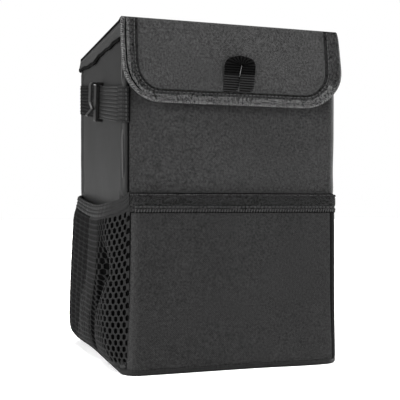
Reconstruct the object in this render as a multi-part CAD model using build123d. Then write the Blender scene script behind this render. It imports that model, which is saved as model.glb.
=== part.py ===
"""Car trash bin: a soft-sided box with a hinged lid, a front flap, three pockets and two strap hooks.

Units are mm. The origin is the centre of the base on the floor.
+Z is up, -Y is the front, +X is the right side.
"""
import os
from math import radians, tan

from build123d import *

# Overall size
body_width = 165.6
body_depth = 166.0
total_height = 254.0

# Sheet materials
cloth = 0.8
board = 1.6
film = 0.4
tape = 0.6
base_board_thickness = 2.0

# Body
corner_radius = 5.0
seam_past_corner = 0.2
board_fold_gap = 0.4
lining_radius = 3.0
rim_binding_height = 10.0

# Lid
lid_gap = 0.3
lid_core_gap = 0.2
skirt_gap = 0.2
skirt_height = 15.0
hinge_tape_height = 14.0

# Flap
flap_height = 59.5
flap_corner = 28.0
flap_board = 1.2
flap_binding_width = 9.0
flap_fold_gap = 0.1
flap_clearance = 0.4
flap_board_drop = 1.0
binding_notch = 1.0
fastener_gap = 0.4
fastener_width = 90.0
fastener_height = 20.0
fastener_margin = 1.0
pull_leg_width = 11.8
pull_height = 28.5
pull_thickness = 2.4
pull_dome = 9.8
pull_slit = 0.8
pull_slit_height = 19.0
pull_shift = 3.6

# Front pocket
pocket_top = 129.0
pocket_depth = 6.4
pocket_radius = 5.0
pocket_side_gap = 1.0
hem_height = 13.0

# Net side pockets
net = 0.9
net_top = 131.0
net_dip = 9.2
net_bulge_top = 8.0
net_bulge_low = 13.5
net_bulge_foot = 6.0
net_foot = 12.0
net_front_run = 40.0
net_rear_run = 18.0
net_round = 12.0
net_stand_off = 0.8
net_floor_gap = 0.2
net_trim = 10.0
dip_overrun = 5.0
elastic_width = 9.5
elastic_tuck = 5.0
net_columns = 12
net_rows = 10
net_hole = 4.1
net_margin = 4.0

# Straps
webbing_width = 25.4
webbing = 1.3
strap_stand_off = 2.0
strap_end_gap = 0.1
strap_bend_ease = 1.0
strap_drop = 61.4
strap_slope = 8.2

# Strap hooks
clip_length = 9.0
clip_wall = 1.6
clip_front_wall = 2.4
clip_back_wall = 1.2
clip_clearance = 0.35
clip_end_wall = 2.3
clip_edge_round = 0.5
clip_throat = 2.8
clip_pinch = 2.0
clip_pinch_drop = 5.5
clip_flare = 4.2
clip_tip_drop = 10.8
clip_from_front = 71.0

# How far cutting solids run past what they cut
cut_over = 1.0

# Derived levels and half sizes
half_w = body_width / 2
half_d = body_depth / 2
wall = cloth + board + film
rim_top = total_height - wall - lid_gap
wall_top = rim_top - tape
floor_board_top = cloth + base_board_thickness
base_turn_up = floor_board_top + film
seam_x = half_w - corner_radius - seam_past_corner
lid_bottom = total_height - wall
lid_half = half_w + tape + skirt_gap + cloth
flap_stack = film + flap_board + cloth
flap_inner = half_d + strap_end_gap + webbing + flap_clearance + tape
flap_outer = flap_inner + flap_stack
fastener_pile = (flap_inner - half_d - fastener_gap) / 2
lid_front = flap_inner - flap_fold_gap
lid_rear = half_d + 2 * tape
flap_bottom = total_height - flap_height
strap_front_z = total_height - strap_drop


def slab(x0, x1, y0, y1, z0, z1):
    """Box between two corners."""
    return Pos((x0 + x1) / 2, (y0 + y1) / 2, (z0 + z1) / 2) * Box(x1 - x0, y1 - y0, z1 - z0)


def rounded_block(width, depth, radius, z0, z1):
    """Upright block with rounded plan corners, centred on the Z axis."""
    return Pos(0, 0, z0) * extrude(RectangleRounded(width, depth, radius), z1 - z0)


def mirrored(shape):
    """The same shape on the other side of the bin."""
    return mirror(shape, about=Plane.YZ)


# Outer cloth: a rounded wall cut into four panels at the upright seams
skin = rounded_block(body_width, body_depth, corner_radius, base_turn_up, wall_top)
skin -= rounded_block(
    body_width - 2 * cloth,
    body_depth - 2 * cloth,
    corner_radius - cloth,
    base_turn_up - cut_over,
    wall_top + cut_over,
)
reach = 2 * max(body_width, body_depth)
right_panel = skin & slab(seam_x, reach, -reach, reach, 0, total_height)
left_panel = mirrored(right_panel)
back_panel = skin & slab(-seam_x, seam_x, 0, reach, 0, total_height)
front_panel = skin & slab(-seam_x, seam_x, -reach, 0, 0, total_height)

base_panel = rounded_block(body_width, body_depth, corner_radius, 0, base_turn_up)
base_panel -= rounded_block(
    body_width - 2 * cloth, body_depth - 2 * cloth, corner_radius - cloth, cloth, base_turn_up + cut_over
)

# Stiffener boards
base_board = rounded_block(
    body_width - 2 * cloth, body_depth - 2 * cloth, corner_radius - cloth, cloth, floor_board_top
)
board_half_x = half_w - corner_radius - board_fold_gap
board_half_y = half_d - corner_radius - board_fold_gap
back_board = slab(
    -board_half_x, board_half_x, half_d - cloth - board, half_d - cloth, floor_board_top, wall_top
)
front_board = mirror(back_board, about=Plane.XZ)
right_board = slab(
    half_w - cloth - board, half_w - cloth, -board_half_y, board_half_y, floor_board_top, wall_top
)
left_board = mirrored(right_board)

# Film tub inside the boards
tub_width = body_width - 2 * (cloth + board)
tub_depth = body_depth - 2 * (cloth + board)
lining = rounded_block(tub_width, tub_depth, lining_radius, floor_board_top, wall_top)
lining -= rounded_block(
    tub_width - 2 * film,
    tub_depth - 2 * film,
    lining_radius - film,
    floor_board_top + film,
    wall_top + cut_over,
)

# Tape folded over the top edge of the walls
mouth_width = body_width - 2 * wall
mouth_depth = body_depth - 2 * wall
rim_bottom = rim_top - rim_binding_height
rim_binding = rounded_block(
    body_width + 2 * tape, body_depth + 2 * tape, corner_radius + tape, rim_bottom, rim_top
)
rim_binding -= rounded_block(
    mouth_width - 2 * tape,
    mouth_depth - 2 * tape,
    lining_radius - film - tape,
    rim_bottom - cut_over,
    rim_top + cut_over,
)
wall_ring = rounded_block(body_width, body_depth, corner_radius, rim_bottom - cut_over, wall_top)
wall_ring -= rounded_block(
    mouth_width, mouth_depth, lining_radius - film, rim_bottom - 2 * cut_over, wall_top + cut_over
)
rim_binding -= wall_ring

# Front pocket
pocket_half = seam_x - pocket_side_gap
pocket_body_top = pocket_top - tape


def pocket_block(grow, z0, z1, foot_rounded):
    """Solid that fills the front pocket, grown sideways and forwards by one amount."""
    block = slab(-pocket_half - grow, pocket_half + grow, -half_d - pocket_depth - grow, -half_d, z0, z1)
    front = block.faces().sort_by(Axis.Y)[0].edges().sort_by(Axis.Z)
    rounded = front[0:3] if foot_rounded else front[1:3]
    return fillet(rounded, pocket_radius + grow)


front_pocket = pocket_block(0, base_turn_up, pocket_body_top, True)
front_pocket -= pocket_block(-cloth, base_turn_up + cloth, pocket_body_top + cut_over, True)
front_pocket_hem = pocket_block(tape, pocket_top - hem_height, pocket_top, False)
front_pocket_hem -= pocket_block(
    -cloth - tape, pocket_top - hem_height - cut_over, pocket_top + cut_over, False
)
front_pocket_hem -= front_pocket

# Net side pockets, each cut into two corner wraps, a front run, a flat side, a rear run and a foot
net_reach_y = half_d + net_stand_off
net_front_bend = -half_d + net_front_run
net_rear_bend = half_d - net_rear_run
net_foot_top = base_turn_up + net_foot


def net_plan(bulge, grow, z):
    """Plan outline of the right side pocket at one height."""
    y_end = net_reach_y + grow
    x_near = half_w + net_stand_off + grow
    x_far = half_w + bulge + grow
    points = [
        (seam_x, -y_end),
        (x_near, -y_end),
        (x_far, net_front_bend),
        (x_far, net_rear_bend),
        (x_near, y_end),
        (seam_x, y_end),
    ]
    outline = make_face(Polyline(*points, close=True))
    corners = outline.vertices()
    near = [v for v in corners if abs(v.X - x_near) < 0.01]
    far = [v for v in corners if abs(v.X - x_far) < 0.01]
    outline = fillet(near, corner_radius + grow)
    far = [v for v in outline.vertices() if any(abs(v.X - f.X) + abs(v.Y - f.Y) < 0.01 for f in far)]
    return Pos(0, 0, z) * fillet(far, net_round + grow)


def net_block(grow, z0):
    """Solid that fills the right side pocket and runs past its top edge, grown by one amount."""
    heights = [z0, net_foot_top, net_top + net_trim]
    bulges = [net_bulge_foot, net_bulge_low, net_bulge_top]
    return loft([net_plan(b, grow, z) for b, z in zip(bulges, heights)], ruled=True)


def under_dip(z_edge):
    """Everything below a sagging edge that runs front to back."""
    ends = net_reach_y + dip_overrun
    edge = ThreePointArc((-ends, z_edge), (0, z_edge - net_dip), (ends, z_edge))
    sides = Polyline((ends, z_edge), (ends, -cut_over), (-ends, -cut_over), (-ends, z_edge))
    return extrude(Plane.YZ * make_face([edge, sides]), reach)


net_shell = net_block(net, base_turn_up) - net_block(0, base_turn_up + net)
net_shell -= rounded_block(
    body_width + 2 * net_floor_gap,
    body_depth + 2 * net_floor_gap,
    corner_radius + net_floor_gap,
    0,
    total_height,
)
right_net = net_shell & under_dip(net_top - elastic_width + elastic_tuck)
hole_start = -half_d + corner_radius + net_margin
hole_step_y = -2 * hole_start / net_columns
hole_step_z = (net_top - net_dip - elastic_width - net_foot_top) / net_rows
holes = Sketch()
for row in range(net_rows):
    shift = 0.25 if row % 2 else 0.75
    for column in range(net_columns):
        y = hole_start + (column + shift) * hole_step_y
        z = net_foot_top + (row + 0.5) * hole_step_z
        holes += Pos(y, z) * RegularPolygon(net_hole, 6, rotation=30)
right_net -= extrude(Plane.YZ * holes, reach)

elastic_shell = net_block(net + tape, base_turn_up) - net_block(-tape, base_turn_up)
right_elastic = elastic_shell & under_dip(net_top)
right_elastic -= under_dip(net_top - elastic_width)
right_elastic -= right_net

front_zone = slab(0, reach, -reach, net_front_bend, net_foot_top, total_height)
side_zone = slab(0, reach, net_front_bend, net_rear_bend, net_foot_top, total_height)
rear_zone = slab(0, reach, net_rear_bend, reach, net_foot_top, total_height)
foot_zone = slab(0, reach, -reach, reach, 0, net_foot_top)
corner_start = half_d - corner_radius
front_corner_zone = slab(0, reach, -reach, -corner_start, net_foot_top, total_height)
rear_corner_zone = slab(0, reach, corner_start, reach, net_foot_top, total_height)
right_net_front_corner = right_net & front_corner_zone
right_net_rear_corner = right_net & rear_corner_zone
right_net_front = (right_net & front_zone) - front_corner_zone
right_net_side = right_net & side_zone
right_net_rear = (right_net & rear_zone) - rear_corner_zone
right_net_foot = right_net & foot_zone
right_elastic_front = right_elastic & front_zone
right_elastic_side = right_elastic & side_zone
right_elastic_rear = right_elastic & rear_zone

# Straps: webbing between the front and rear seams, cut along a slope that rises to the back
strap_bend = corner_radius + strap_bend_ease
strap_ring = rounded_block(
    body_width + 2 * (strap_stand_off + webbing),
    body_depth + 2 * (strap_end_gap + webbing),
    strap_bend + webbing,
    0,
    total_height,
)
strap_ring -= rounded_block(
    body_width + 2 * strap_stand_off,
    body_depth + 2 * strap_end_gap,
    strap_bend,
    -cut_over,
    total_height + cut_over,
)
strap_ring &= slab(seam_x, reach, -reach, reach, 0, total_height)
slope_band = Pos(0, -half_d, strap_front_z) * Rot(strap_slope, 0, 0) * Box(reach, 2 * reach, webbing_width)
right_strap = strap_ring & slope_band
left_strap = mirrored(right_strap)

# Strap hooks: a flat loop round the webbing with a bent tongue outside it
loop_back = strap_stand_off - clip_clearance - clip_back_wall
loop_front = strap_stand_off + webbing + clip_clearance + clip_front_wall
loop_half = webbing_width / 2 + clip_clearance + clip_end_wall
tongue_mid = loop_front + clip_throat + clip_wall / 2
arch_outer = (clip_throat + 2 * clip_wall) / 2
arch_v = loop_half - arch_outer


def strip(start, end):
    """Straight piece of the bent tongue with round ends."""
    run = Vector(*end) - Vector(*start)
    middle = (Vector(*end) + Vector(*start)) * 0.5
    turn = run.get_signed_angle(Vector(1, 0), Vector(0, 0, -1))
    return Pos(middle.X, middle.Y) * Rot(0, 0, turn) * SlotCenterToCenter(run.length, clip_wall)


loop_plan = Pos((loop_back + loop_front) / 2, 0) * RectangleRounded(
    loop_front - loop_back, 2 * loop_half, clip_edge_round
)
loop_plan -= Pos(strap_stand_off + webbing / 2, 0) * Rectangle(
    webbing + 2 * clip_clearance, webbing_width + 2 * clip_clearance
)
arch = Circle(arch_outer) - Circle(arch_outer - clip_wall)
arch &= Pos(0, arch_outer) * Rectangle(4 * arch_outer, 2 * arch_outer)
tongue_points = [
    (tongue_mid, arch_v),
    (tongue_mid, 0),
    (tongue_mid - clip_pinch, -clip_pinch_drop),
    (tongue_mid - clip_pinch + clip_flare, -clip_tip_drop),
]
hook_profile = loop_plan + Pos(loop_front - clip_wall + arch_outer, arch_v) * arch
for start, end in zip(tongue_points, tongue_points[1:]):
    hook_profile += strip(start, end)
hook_plane = Plane(origin=(half_w, 0, 0), x_dir=(1, 0, 0), z_dir=(0, -1, 0))
clip_y = -half_d + clip_from_front
clip_z = strap_front_z + tan(radians(strap_slope)) * clip_from_front
right_clip = extrude(hook_plane * hook_profile, clip_length / 2, both=True)
right_clip = Pos(0, clip_y, clip_z) * Rot(strap_slope, 0, 0) * right_clip
left_clip = mirrored(right_clip)

# Lid
lid_cover = slab(-lid_half, lid_half, -lid_front, lid_rear, total_height - cloth, total_height)
lid_core_half = lid_half - cloth - lid_core_gap
lid_board = slab(-lid_core_half, lid_core_half, -lid_front, lid_rear, lid_bottom + film, total_height - cloth)
lid_lining = slab(-lid_core_half, lid_core_half, -lid_front, lid_rear, lid_bottom, lid_bottom + film)
skirt_front = half_d + tape
lid_right_skirt = slab(
    lid_half - cloth, lid_half, -skirt_front, lid_rear, total_height - skirt_height, total_height - cloth
)
lid_left_skirt = mirrored(lid_right_skirt)
tape_half = half_w - corner_radius
lid_hinge_tape = slab(-tape_half, tape_half, half_d + tape, lid_rear, rim_top - hinge_tape_height, rim_top)


# Flap
def flap_sheet(inset, y0, y1, top):
    """Upright sheet with the flap's outline, inset from its side and lower edges."""
    half = lid_half - inset
    low = flap_bottom + inset
    sheet = slab(-half, half, -y1, -y0, low, top)
    corners = sheet.edges().filter_by(Axis.Y).sort_by(Axis.Z)[0:2]
    return fillet(corners, max(flap_corner - inset, 1.0))


flap_cover = flap_sheet(tape, flap_outer - cloth, flap_outer, total_height)
flap_stiffener = flap_sheet(
    flap_binding_width, flap_inner + film, flap_outer - cloth, total_height - flap_board_drop
)
flap_lining = flap_sheet(tape, flap_inner, flap_inner + film, total_height)
flap_binding = flap_sheet(0, flap_inner - tape, flap_outer + tape, total_height)
flap_binding -= flap_sheet(
    flap_binding_width, flap_inner - tape - cut_over, flap_outer + tape + cut_over, total_height + cut_over
)
flap_binding -= flap_sheet(tape, flap_inner, flap_outer, total_height + cut_over)
flap_binding -= slab(-reach, reach, -flap_inner, 0, lid_bottom - binding_notch, total_height + cut_over)

fastener_low = flap_bottom + flap_binding_width + fastener_margin
hook_strip = slab(
    -fastener_width / 2,
    fastener_width / 2,
    -flap_inner,
    -flap_inner + fastener_pile,
    fastener_low,
    fastener_low + fastener_height,
)
loop_strip = slab(
    -fastener_width / 2,
    fastener_width / 2,
    -half_d - fastener_pile,
    -half_d,
    fastener_low,
    fastener_low + fastener_height,
)

pull_base = flap_bottom + flap_binding_width
pull_half = pull_leg_width + pull_slit / 2
pull_loop = slab(
    pull_shift - pull_half,
    pull_shift + pull_half,
    -flap_outer - pull_thickness,
    -flap_outer,
    pull_base,
    pull_base + pull_height,
)
pull_corners = pull_loop.edges().filter_by(Axis.Y).sort_by(Axis.Z)[2:4]
pull_loop = fillet(pull_corners, pull_dome)
pull_loop -= slab(
    pull_shift - pull_slit / 2,
    pull_shift + pull_slit / 2,
    -flap_outer - pull_thickness - cut_over,
    -flap_outer + cut_over,
    pull_base - cut_over,
    pull_base + pull_slit_height,
)

nodes = {
    "front_panel": front_panel,
    "back_panel": back_panel,
    "left_panel": left_panel,
    "right_panel": right_panel,
    "base_panel": base_panel,
    "front_board": front_board,
    "back_board": back_board,
    "left_board": left_board,
    "right_board": right_board,
    "base_board": base_board,
    "lining": lining,
    "rim_binding": rim_binding,
    "front_pocket": front_pocket,
    "front_pocket_hem": front_pocket_hem,
    "left_net_front": mirrored(right_net_front),
    "right_net_front": right_net_front,
    "left_net_front_corner": mirrored(right_net_front_corner),
    "right_net_front_corner": right_net_front_corner,
    "left_net_side": mirrored(right_net_side),
    "right_net_side": right_net_side,
    "left_net_rear": mirrored(right_net_rear),
    "right_net_rear": right_net_rear,
    "left_net_rear_corner": mirrored(right_net_rear_corner),
    "right_net_rear_corner": right_net_rear_corner,
    "left_net_foot": mirrored(right_net_foot),
    "right_net_foot": right_net_foot,
    "left_elastic_front": mirrored(right_elastic_front),
    "right_elastic_front": right_elastic_front,
    "left_elastic_side": mirrored(right_elastic_side),
    "right_elastic_side": right_elastic_side,
    "left_elastic_rear": mirrored(right_elastic_rear),
    "right_elastic_rear": right_elastic_rear,
    "left_strap": left_strap,
    "right_strap": right_strap,
    "left_clip": left_clip,
    "right_clip": right_clip,
    "loop_strip": loop_strip,
    "lid_hinge_tape": lid_hinge_tape,
    "lid_cover": lid_cover,
    "lid_board": lid_board,
    "lid_lining": lid_lining,
    "lid_left_skirt": lid_left_skirt,
    "lid_right_skirt": lid_right_skirt,
    "flap_cover": flap_cover,
    "flap_stiffener": flap_stiffener,
    "flap_lining": flap_lining,
    "flap_binding": flap_binding,
    "pull_loop": pull_loop,
    "hook_strip": hook_strip,
}
os.makedirs("parts", exist_ok=True)
for name, shape in nodes.items():
    export_step(shape, f"parts/{name}.step")
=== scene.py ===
"""A soft-sided car trash bin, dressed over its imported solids.

Shapes are worked out in millimetres in the part's own frame: +Z up, -Y the front, +X the right side.
"""
import logging
import math
from collections.abc import Callable, Iterable, Sequence
from dataclasses import dataclass, field, replace
from enum import Enum

import bpy
import numpy as np
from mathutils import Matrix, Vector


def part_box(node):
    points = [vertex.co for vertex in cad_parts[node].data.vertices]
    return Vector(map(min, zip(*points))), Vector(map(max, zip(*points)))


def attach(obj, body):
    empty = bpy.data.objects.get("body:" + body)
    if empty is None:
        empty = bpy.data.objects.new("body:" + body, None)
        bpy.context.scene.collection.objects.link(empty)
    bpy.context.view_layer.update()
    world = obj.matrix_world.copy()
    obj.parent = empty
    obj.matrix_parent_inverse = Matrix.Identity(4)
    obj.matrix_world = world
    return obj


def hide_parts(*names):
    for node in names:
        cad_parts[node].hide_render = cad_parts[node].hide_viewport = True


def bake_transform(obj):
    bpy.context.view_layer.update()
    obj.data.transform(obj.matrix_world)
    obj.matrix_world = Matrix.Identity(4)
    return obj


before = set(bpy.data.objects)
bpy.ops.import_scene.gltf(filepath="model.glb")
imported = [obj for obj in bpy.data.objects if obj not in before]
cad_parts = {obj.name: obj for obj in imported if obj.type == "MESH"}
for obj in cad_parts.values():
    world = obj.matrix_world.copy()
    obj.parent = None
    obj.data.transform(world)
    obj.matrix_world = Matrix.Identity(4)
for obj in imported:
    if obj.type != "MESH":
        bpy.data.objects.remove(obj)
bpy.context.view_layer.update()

LOG = logging.getLogger("car_trash_bin")
MM = 0.001
GRAIN = "grain"
WHITE = (1.0, 1.0, 1.0, 1.0)
NOISE_DETAIL = 3.0
ROUGHNESS_SPREAD = 0.06
SHEEN_ROUGHNESS = 0.4
SHARP_EDGE_DEG = 50
RIPPLE_WAVES = 7
ROLL_SIDES = 12

Array = np.ndarray


class Body(Enum):
    """The rigid bodies that the soft pieces move with."""

    BIN = "bin"
    LID = "lid"
    FLAP = "flap"


class Side(Enum):
    """The two sides of the bin, with the sign of their X."""

    LEFT = -1
    RIGHT = 1

    @property
    def word(self) -> str:
        """The side's name as node names use it."""
        return self.name.lower()


class Hold(Enum):
    """How a piece of cloth is kept in its place."""

    STRETCHED = "stretched"
    HUNG = "hung"
    GATHERED = "gathered"
    FOLDED = "folded"


class Pattern(Enum):
    """How a material's surface was made."""

    PLAIN_WEAVE = "plain weave"
    TWILL = "slanting weave"
    CROSS_RIBS = "ribs across the tape"
    LENGTH_RIBS = "ribs along the tape"
    PILE = "cut pile"
    FILM = "rolled film"
    MOULDED = "moulded"


def linear_rgba(code: str) -> tuple[float, float, float, float]:
    """Turns an sRGB hex colour into the linear values that shaders use.

    Args:
        code: Six hex digits after a hash sign.

    Returns:
        Linear red, green and blue, with alpha 1.
    """
    values = [int(code[i : i + 2], 16) / 255 for i in (1, 3, 5)]
    straight = [v / 12.92 if v <= 0.04045 else ((v + 0.055) / 1.055) ** 2.4 for v in values]
    return (*straight, 1.0)


def add_node(
    tree: bpy.types.NodeTree, kind: str, inputs: dict | None = None, **settings: object
) -> bpy.types.Node:
    """Adds one node with its settings, its values and its links.

    Args:
        tree: Node tree to add to.
        kind: Blender's name for the kind of node.
        inputs: Socket name or number to a value, or to the socket that feeds it.
        settings: Properties of the node itself.

    Returns:
        The new node.
    """
    node = tree.nodes.new(kind)
    for key, value in settings.items():
        setattr(node, key, value)
    for key, value in (inputs or {}).items():
        if isinstance(value, bpy.types.NodeSocket):
            tree.links.new(value, node.inputs[key])
        else:
            node.inputs[key].default_value = value
    return node


def math_node(tree: bpy.types.NodeTree, operation: str, *inputs: object) -> bpy.types.NodeSocket:
    """Adds one sum.

    Args:
        tree: Node tree to add to.
        operation: Blender's name for the kind of sum.
        inputs: Values, or the sockets that feed them.

    Returns:
        The socket with the result.
    """
    return add_node(tree, "ShaderNodeMath", dict(enumerate(inputs)), operation=operation).outputs[0]


@dataclass(frozen=True)
class Finish:
    """One real material and how its surface looks.

    Attributes:
        name: What the material is and how it was made.
        slot: The record's material slot that it belongs to.
        dark: sRGB colour in the hollows of the pattern.
        light: sRGB colour on the tops of the pattern.
        pattern: How the surface was made.
        pitch_mm: Spacing of the threads, ribs or grain.
        relief_mm: Height of the pattern.
        roughness: Typical roughness of the material.
        ior: Index of refraction.
        specular: Share of the usual mirror-like reflection that the rough fibres leave.
        sheen: Strength of the fibre sheen at a grazing angle.
        weight: How much the pattern moves the colour from dark to light.
        mottle: How much the soft patches of handling and dust do.
        mottle_mm: Size of those patches.
        fleck: How much single stray fibres do.
        fleck_mm: Size of those flecks.
    """

    name: str
    slot: str
    dark: str
    light: str
    pattern: Pattern
    pitch_mm: float
    relief_mm: float
    roughness: float
    ior: float = 1.5
    specular: float = 0.2
    sheen: float = 0.0
    weight: float = 0.5
    mottle: float = 0.6
    mottle_mm: float = 35.0
    fleck: float = 0.8
    fleck_mm: float = 1.4

    def material(self) -> bpy.types.Material:
        """The Blender material, made once.

        Returns:
            The material, with its colour, roughness and relief worked out from the pattern.
        """
        made = bpy.data.materials.get(self.name)
        if made:
            return made
        made = bpy.data.materials.new(self.name)
        made.use_nodes = True
        tree = made.node_tree
        tree.nodes.clear()
        place = add_node(tree, "ShaderNodeTexCoord").outputs["Object"]
        relief = self.relief(tree, place)
        shade: object = 0.5 - (self.weight + self.mottle + self.fleck) / 2
        noises = []
        for size in (self.mottle_mm, self.fleck_mm):
            settings = {"Vector": place, "Scale": 1 / (size * MM), "Detail": NOISE_DETAIL}
            noises.append(add_node(tree, "ShaderNodeTexNoise", settings).outputs["Fac"])
        for source, share in zip((relief, *noises), (self.weight, self.mottle, self.fleck)):
            shade = math_node(tree, "MULTIPLY_ADD", source, share, shade)
        ends = {0: shade, 6: linear_rgba(self.dark), 7: linear_rgba(self.light)}
        colour = add_node(tree, "ShaderNodeMix", ends, data_type="RGBA", clamp_factor=True)
        low, high = self.roughness - ROUGHNESS_SPREAD, self.roughness + ROUGHNESS_SPREAD
        rough = add_node(tree, "ShaderNodeMapRange", {"Value": noises[0], "To Min": low, "To Max": high})
        height = {"Height": relief, "Distance": self.relief_mm * MM, "Strength": 1.0}
        bump = add_node(tree, "ShaderNodeBump", height)
        surface = {
            "Base Color": colour.outputs[2],
            "Roughness": rough.outputs[0],
            "Normal": bump.outputs[0],
            "IOR": self.ior,
            "Specular IOR Level": self.specular,
            "Sheen Weight": self.sheen,
            "Sheen Roughness": SHEEN_ROUGHNESS,
        }
        shader = add_node(tree, "ShaderNodeBsdfPrincipled", surface)
        add_node(tree, "ShaderNodeOutputMaterial", {"Surface": shader.outputs[0]})
        return made

    def relief(self, tree: bpy.types.NodeTree, place: bpy.types.NodeSocket) -> bpy.types.NodeSocket:
        """Adds the nodes for the height of the surface.

        Args:
            tree: The material's node tree.
            place: Position on the object, in metres.

        Returns:
            A socket with the height, from 0 to 1.
        """
        grainy = {Pattern.PILE: 6.0, Pattern.FILM: 2.0, Pattern.MOULDED: 1.0}
        if self.pattern in grainy:
            settings = {"Vector": place, "Scale": 1 / (self.pitch_mm * MM), "Detail": grainy[self.pattern]}
            return add_node(tree, "ShaderNodeTexNoise", settings).outputs["Fac"]
        cloth = add_node(tree, "ShaderNodeUVMap", uv_map=GRAIN).outputs[0]
        axes = add_node(tree, "ShaderNodeSeparateXYZ", {0: cloth}).outputs
        runs = {Pattern.PLAIN_WEAVE: axes[:2], Pattern.CROSS_RIBS: axes[1:2], Pattern.LENGTH_RIBS: axes[:1]}
        if self.pattern is Pattern.TWILL:
            runs[Pattern.TWILL] = [math_node(tree, "ADD", axes[0], axes[1])]
        turns = 2 * math.pi / (self.pitch_mm * MM)
        wave: object = 1.0
        for run in runs[self.pattern]:
            swing = math_node(tree, "SINE", math_node(tree, "MULTIPLY", run, turns))
            wave = math_node(tree, "MULTIPLY", swing, wave)
        return math_node(tree, "MULTIPLY_ADD", wave, 0.5, 0.5)


# Coated plain-weave polyester: matt black and finely speckled.
# Its 0.5 mm threads are drawn at 1.5 mm so that they show.
CLOTH = Finish(
    "coated_polyester_plain_weave", "outer_cloth", "#060606", "#323232", Pattern.PLAIN_WEAVE, 1.5, 0.12, 0.64,
    specular=0.12, weight=0.3, mottle=0.3, fleck=2.0, fleck_mm=1.15,
)
# Copies of that cloth: pocket a little darker, base darkest (painted shade), flap paler (painted light)
SHADED_POCKET_CLOTH = replace(CLOTH, name="pocket_weave_painted_shade", dark="#030303", light="#272727")
LIT_FLAP_CLOTH = replace(CLOTH, name="flap_weave_painted_light", dark="#0b0b0b", light="#393939")
SHADED_BASE_CLOTH = replace(CLOTH, name="base_weave_painted_shade", dark="#020202", light="#1b1b1b")
# The lid's top, brushed dull by hands
LID_CLOTH = replace(CLOTH, name="brushed_polyester_plain_weave", specular=0.02)
# Right edge of the pocket, near black: painted shade on the pocket's right side
SHADED_EDGE_CLOTH = replace(
    CLOTH, name="shaded_edge_polyester_weave", dark="#000000", light="#0a0a0a", specular=0.02
)
# The same cloth from its calendered side: smoother and paler, with hardly any speckle
SIDE_CLOTH = Finish(
    "calendered_polyester_plain_weave", "outer_cloth", "#151515", "#1d1d1d",
    Pattern.PLAIN_WEAVE, 1.5, 0.03, 0.54, specular=0.12, weight=0.15, mottle=0.8, fleck=0.25,
)
# A hard crease in it, painted paler: a painted highlight along the crease
CREASE_HIGHLIGHT_CLOTH = replace(SIDE_CLOTH, name="crease_highlight_polyester_weave", dark="#262626", light="#3c3c3c")
# Slant-woven polyester binding: bare pale threads with coarse dark specks between them
TAPE = Finish(
    "twill_polyester_binding", "binding_tape", "#000000", "#343434", Pattern.TWILL, 1.6, 0.22, 0.76,
    specular=0.06, weight=0.8, mottle_mm=9.0, fleck=4.4, fleck_mm=1.15,
)
# Narrow binding of the pocket: the same weave, flatter and dyed darker
HEM_TAPE = replace(
    TAPE, name="twill_polyester_pocket_binding", light="#262626", relief_mm=0.20, roughness=0.78
)
# Outer band of the binding, painted paler: a painted highlight along the curled edge
HIGHLIGHT_TAPE = replace(TAPE, name="highlighted_twill_binding", dark="#060606", light="#525252")
# Rolled outer edge of the binding, painted palest: a painted highlight along the rim
RIM_HIGHLIGHT_TAPE = replace(TAPE, name="rim_highlight_twill_binding", dark="#0a0a0a", light="#606060", fleck=3.0)
# Overlocked inner edge of the binding: black thread with a few pale loops that catch the light
OVERLOCK = replace(TAPE, name="overlocked_polyester_thread", light="#1c1c1c", fleck=5.0, fleck_mm=1.3)
# Black roll in seams, gaps and under edges: painted shade lines where shade falls
SHADE_WELT = Finish(
    "black_welt_painted_shade", "binding_tape", "#000000", "#080808", Pattern.CROSS_RIBS, 1.4, 0.10, 0.85,
    specular=0.03,
)
# Black sheet behind the net: painted shade, so that the holes look as dark as the shade inside the pocket
SHADE_BACKING = Finish(
    "black_backing_painted_shade", "outer_cloth", "#000000", "#060606", Pattern.PLAIN_WEAVE, 1.5, 0.05, 0.9,
    specular=0.03,
)
# Knitted polyester net: soft matt threads
NET = Finish(
    "knitted_polyester_net", "net", "#040404", "#1d1d1d", Pattern.TWILL, 0.9, 0.06, 0.72,
    specular=0.12, mottle_mm=14.0, fleck=0.6,
)
# The same net behind the fold, darker in two steps: painted shade
HALF_SHADED_NET = replace(NET, name="half_shaded_polyester_net", dark="#030303", light="#191919")
SHADED_NET = replace(NET, name="shaded_polyester_net", dark="#020202", light="#161616", specular=0.03)
# Folded elastic: smooth, with a few fine grooves along its length
ELASTIC = Finish(
    "folded_knit_elastic", "elastic", "#060606", "#161616", Pattern.LENGTH_RIBS, 1.2, 0.05, 0.66,
    specular=0.15, weight=0.3, mottle_mm=12.0, fleck=0.4,
)
# Polypropylene webbing: dark, with ridges along the strap and fine cross threads
WEBBING = Finish(
    "woven_polypropylene_webbing", "webbing", "#020202", "#141414", Pattern.CROSS_RIBS, 1.5, 0.10, 0.58,
    ior=1.49, specular=0.15, weight=0.3, mottle_mm=14.0, fleck=0.5,
)
# The same webbing from the hook to the rear, darker and darker: painted shade behind the hook
SHADED_WEBBING = tuple(
    replace(
        WEBBING,
        name=f"less_rubbed_polypropylene_webbing_{level}",
        dark="#000000",
        light="#" + f"{level:02x}" * 3,
        specular=0.15 - 0.012 * (20 - level),
    )
    for level in range(19, 9, -1)
)
# Tight black webbing of the pull loop: almost no light comes back from between its ribs
PULL_WEBBING = Finish(
    "tight_polypropylene_webbing", "webbing", "#000000", "#1e1e1e", Pattern.CROSS_RIBS, 1.8, 0.20, 0.6,
    ior=1.49, specular=0.06, weight=2.4, mottle=0.3, mottle_mm=8.0, fleck=0.5,
)
# The same webbing over the top of the loop, blacker still: painted shade on the fold
SHADED_PULL_WEBBING = Finish(
    "shaded_pull_webbing", "webbing", "#000000", "#0c0c0c", Pattern.CROSS_RIBS, 1.8, 0.12, 0.75,
    ior=1.49, specular=0.02, weight=1.0, mottle_mm=8.0,
)
# Nylon touch-fastener pile: deep black fuzz
PILE = Finish(
    "nylon_touch_fastener_pile", "pile_strip", "#060606", "#1c1c1c", Pattern.PILE, 1.1, 0.5, 0.9,
    sheen=0.05, mottle_mm=5.0,
)
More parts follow.
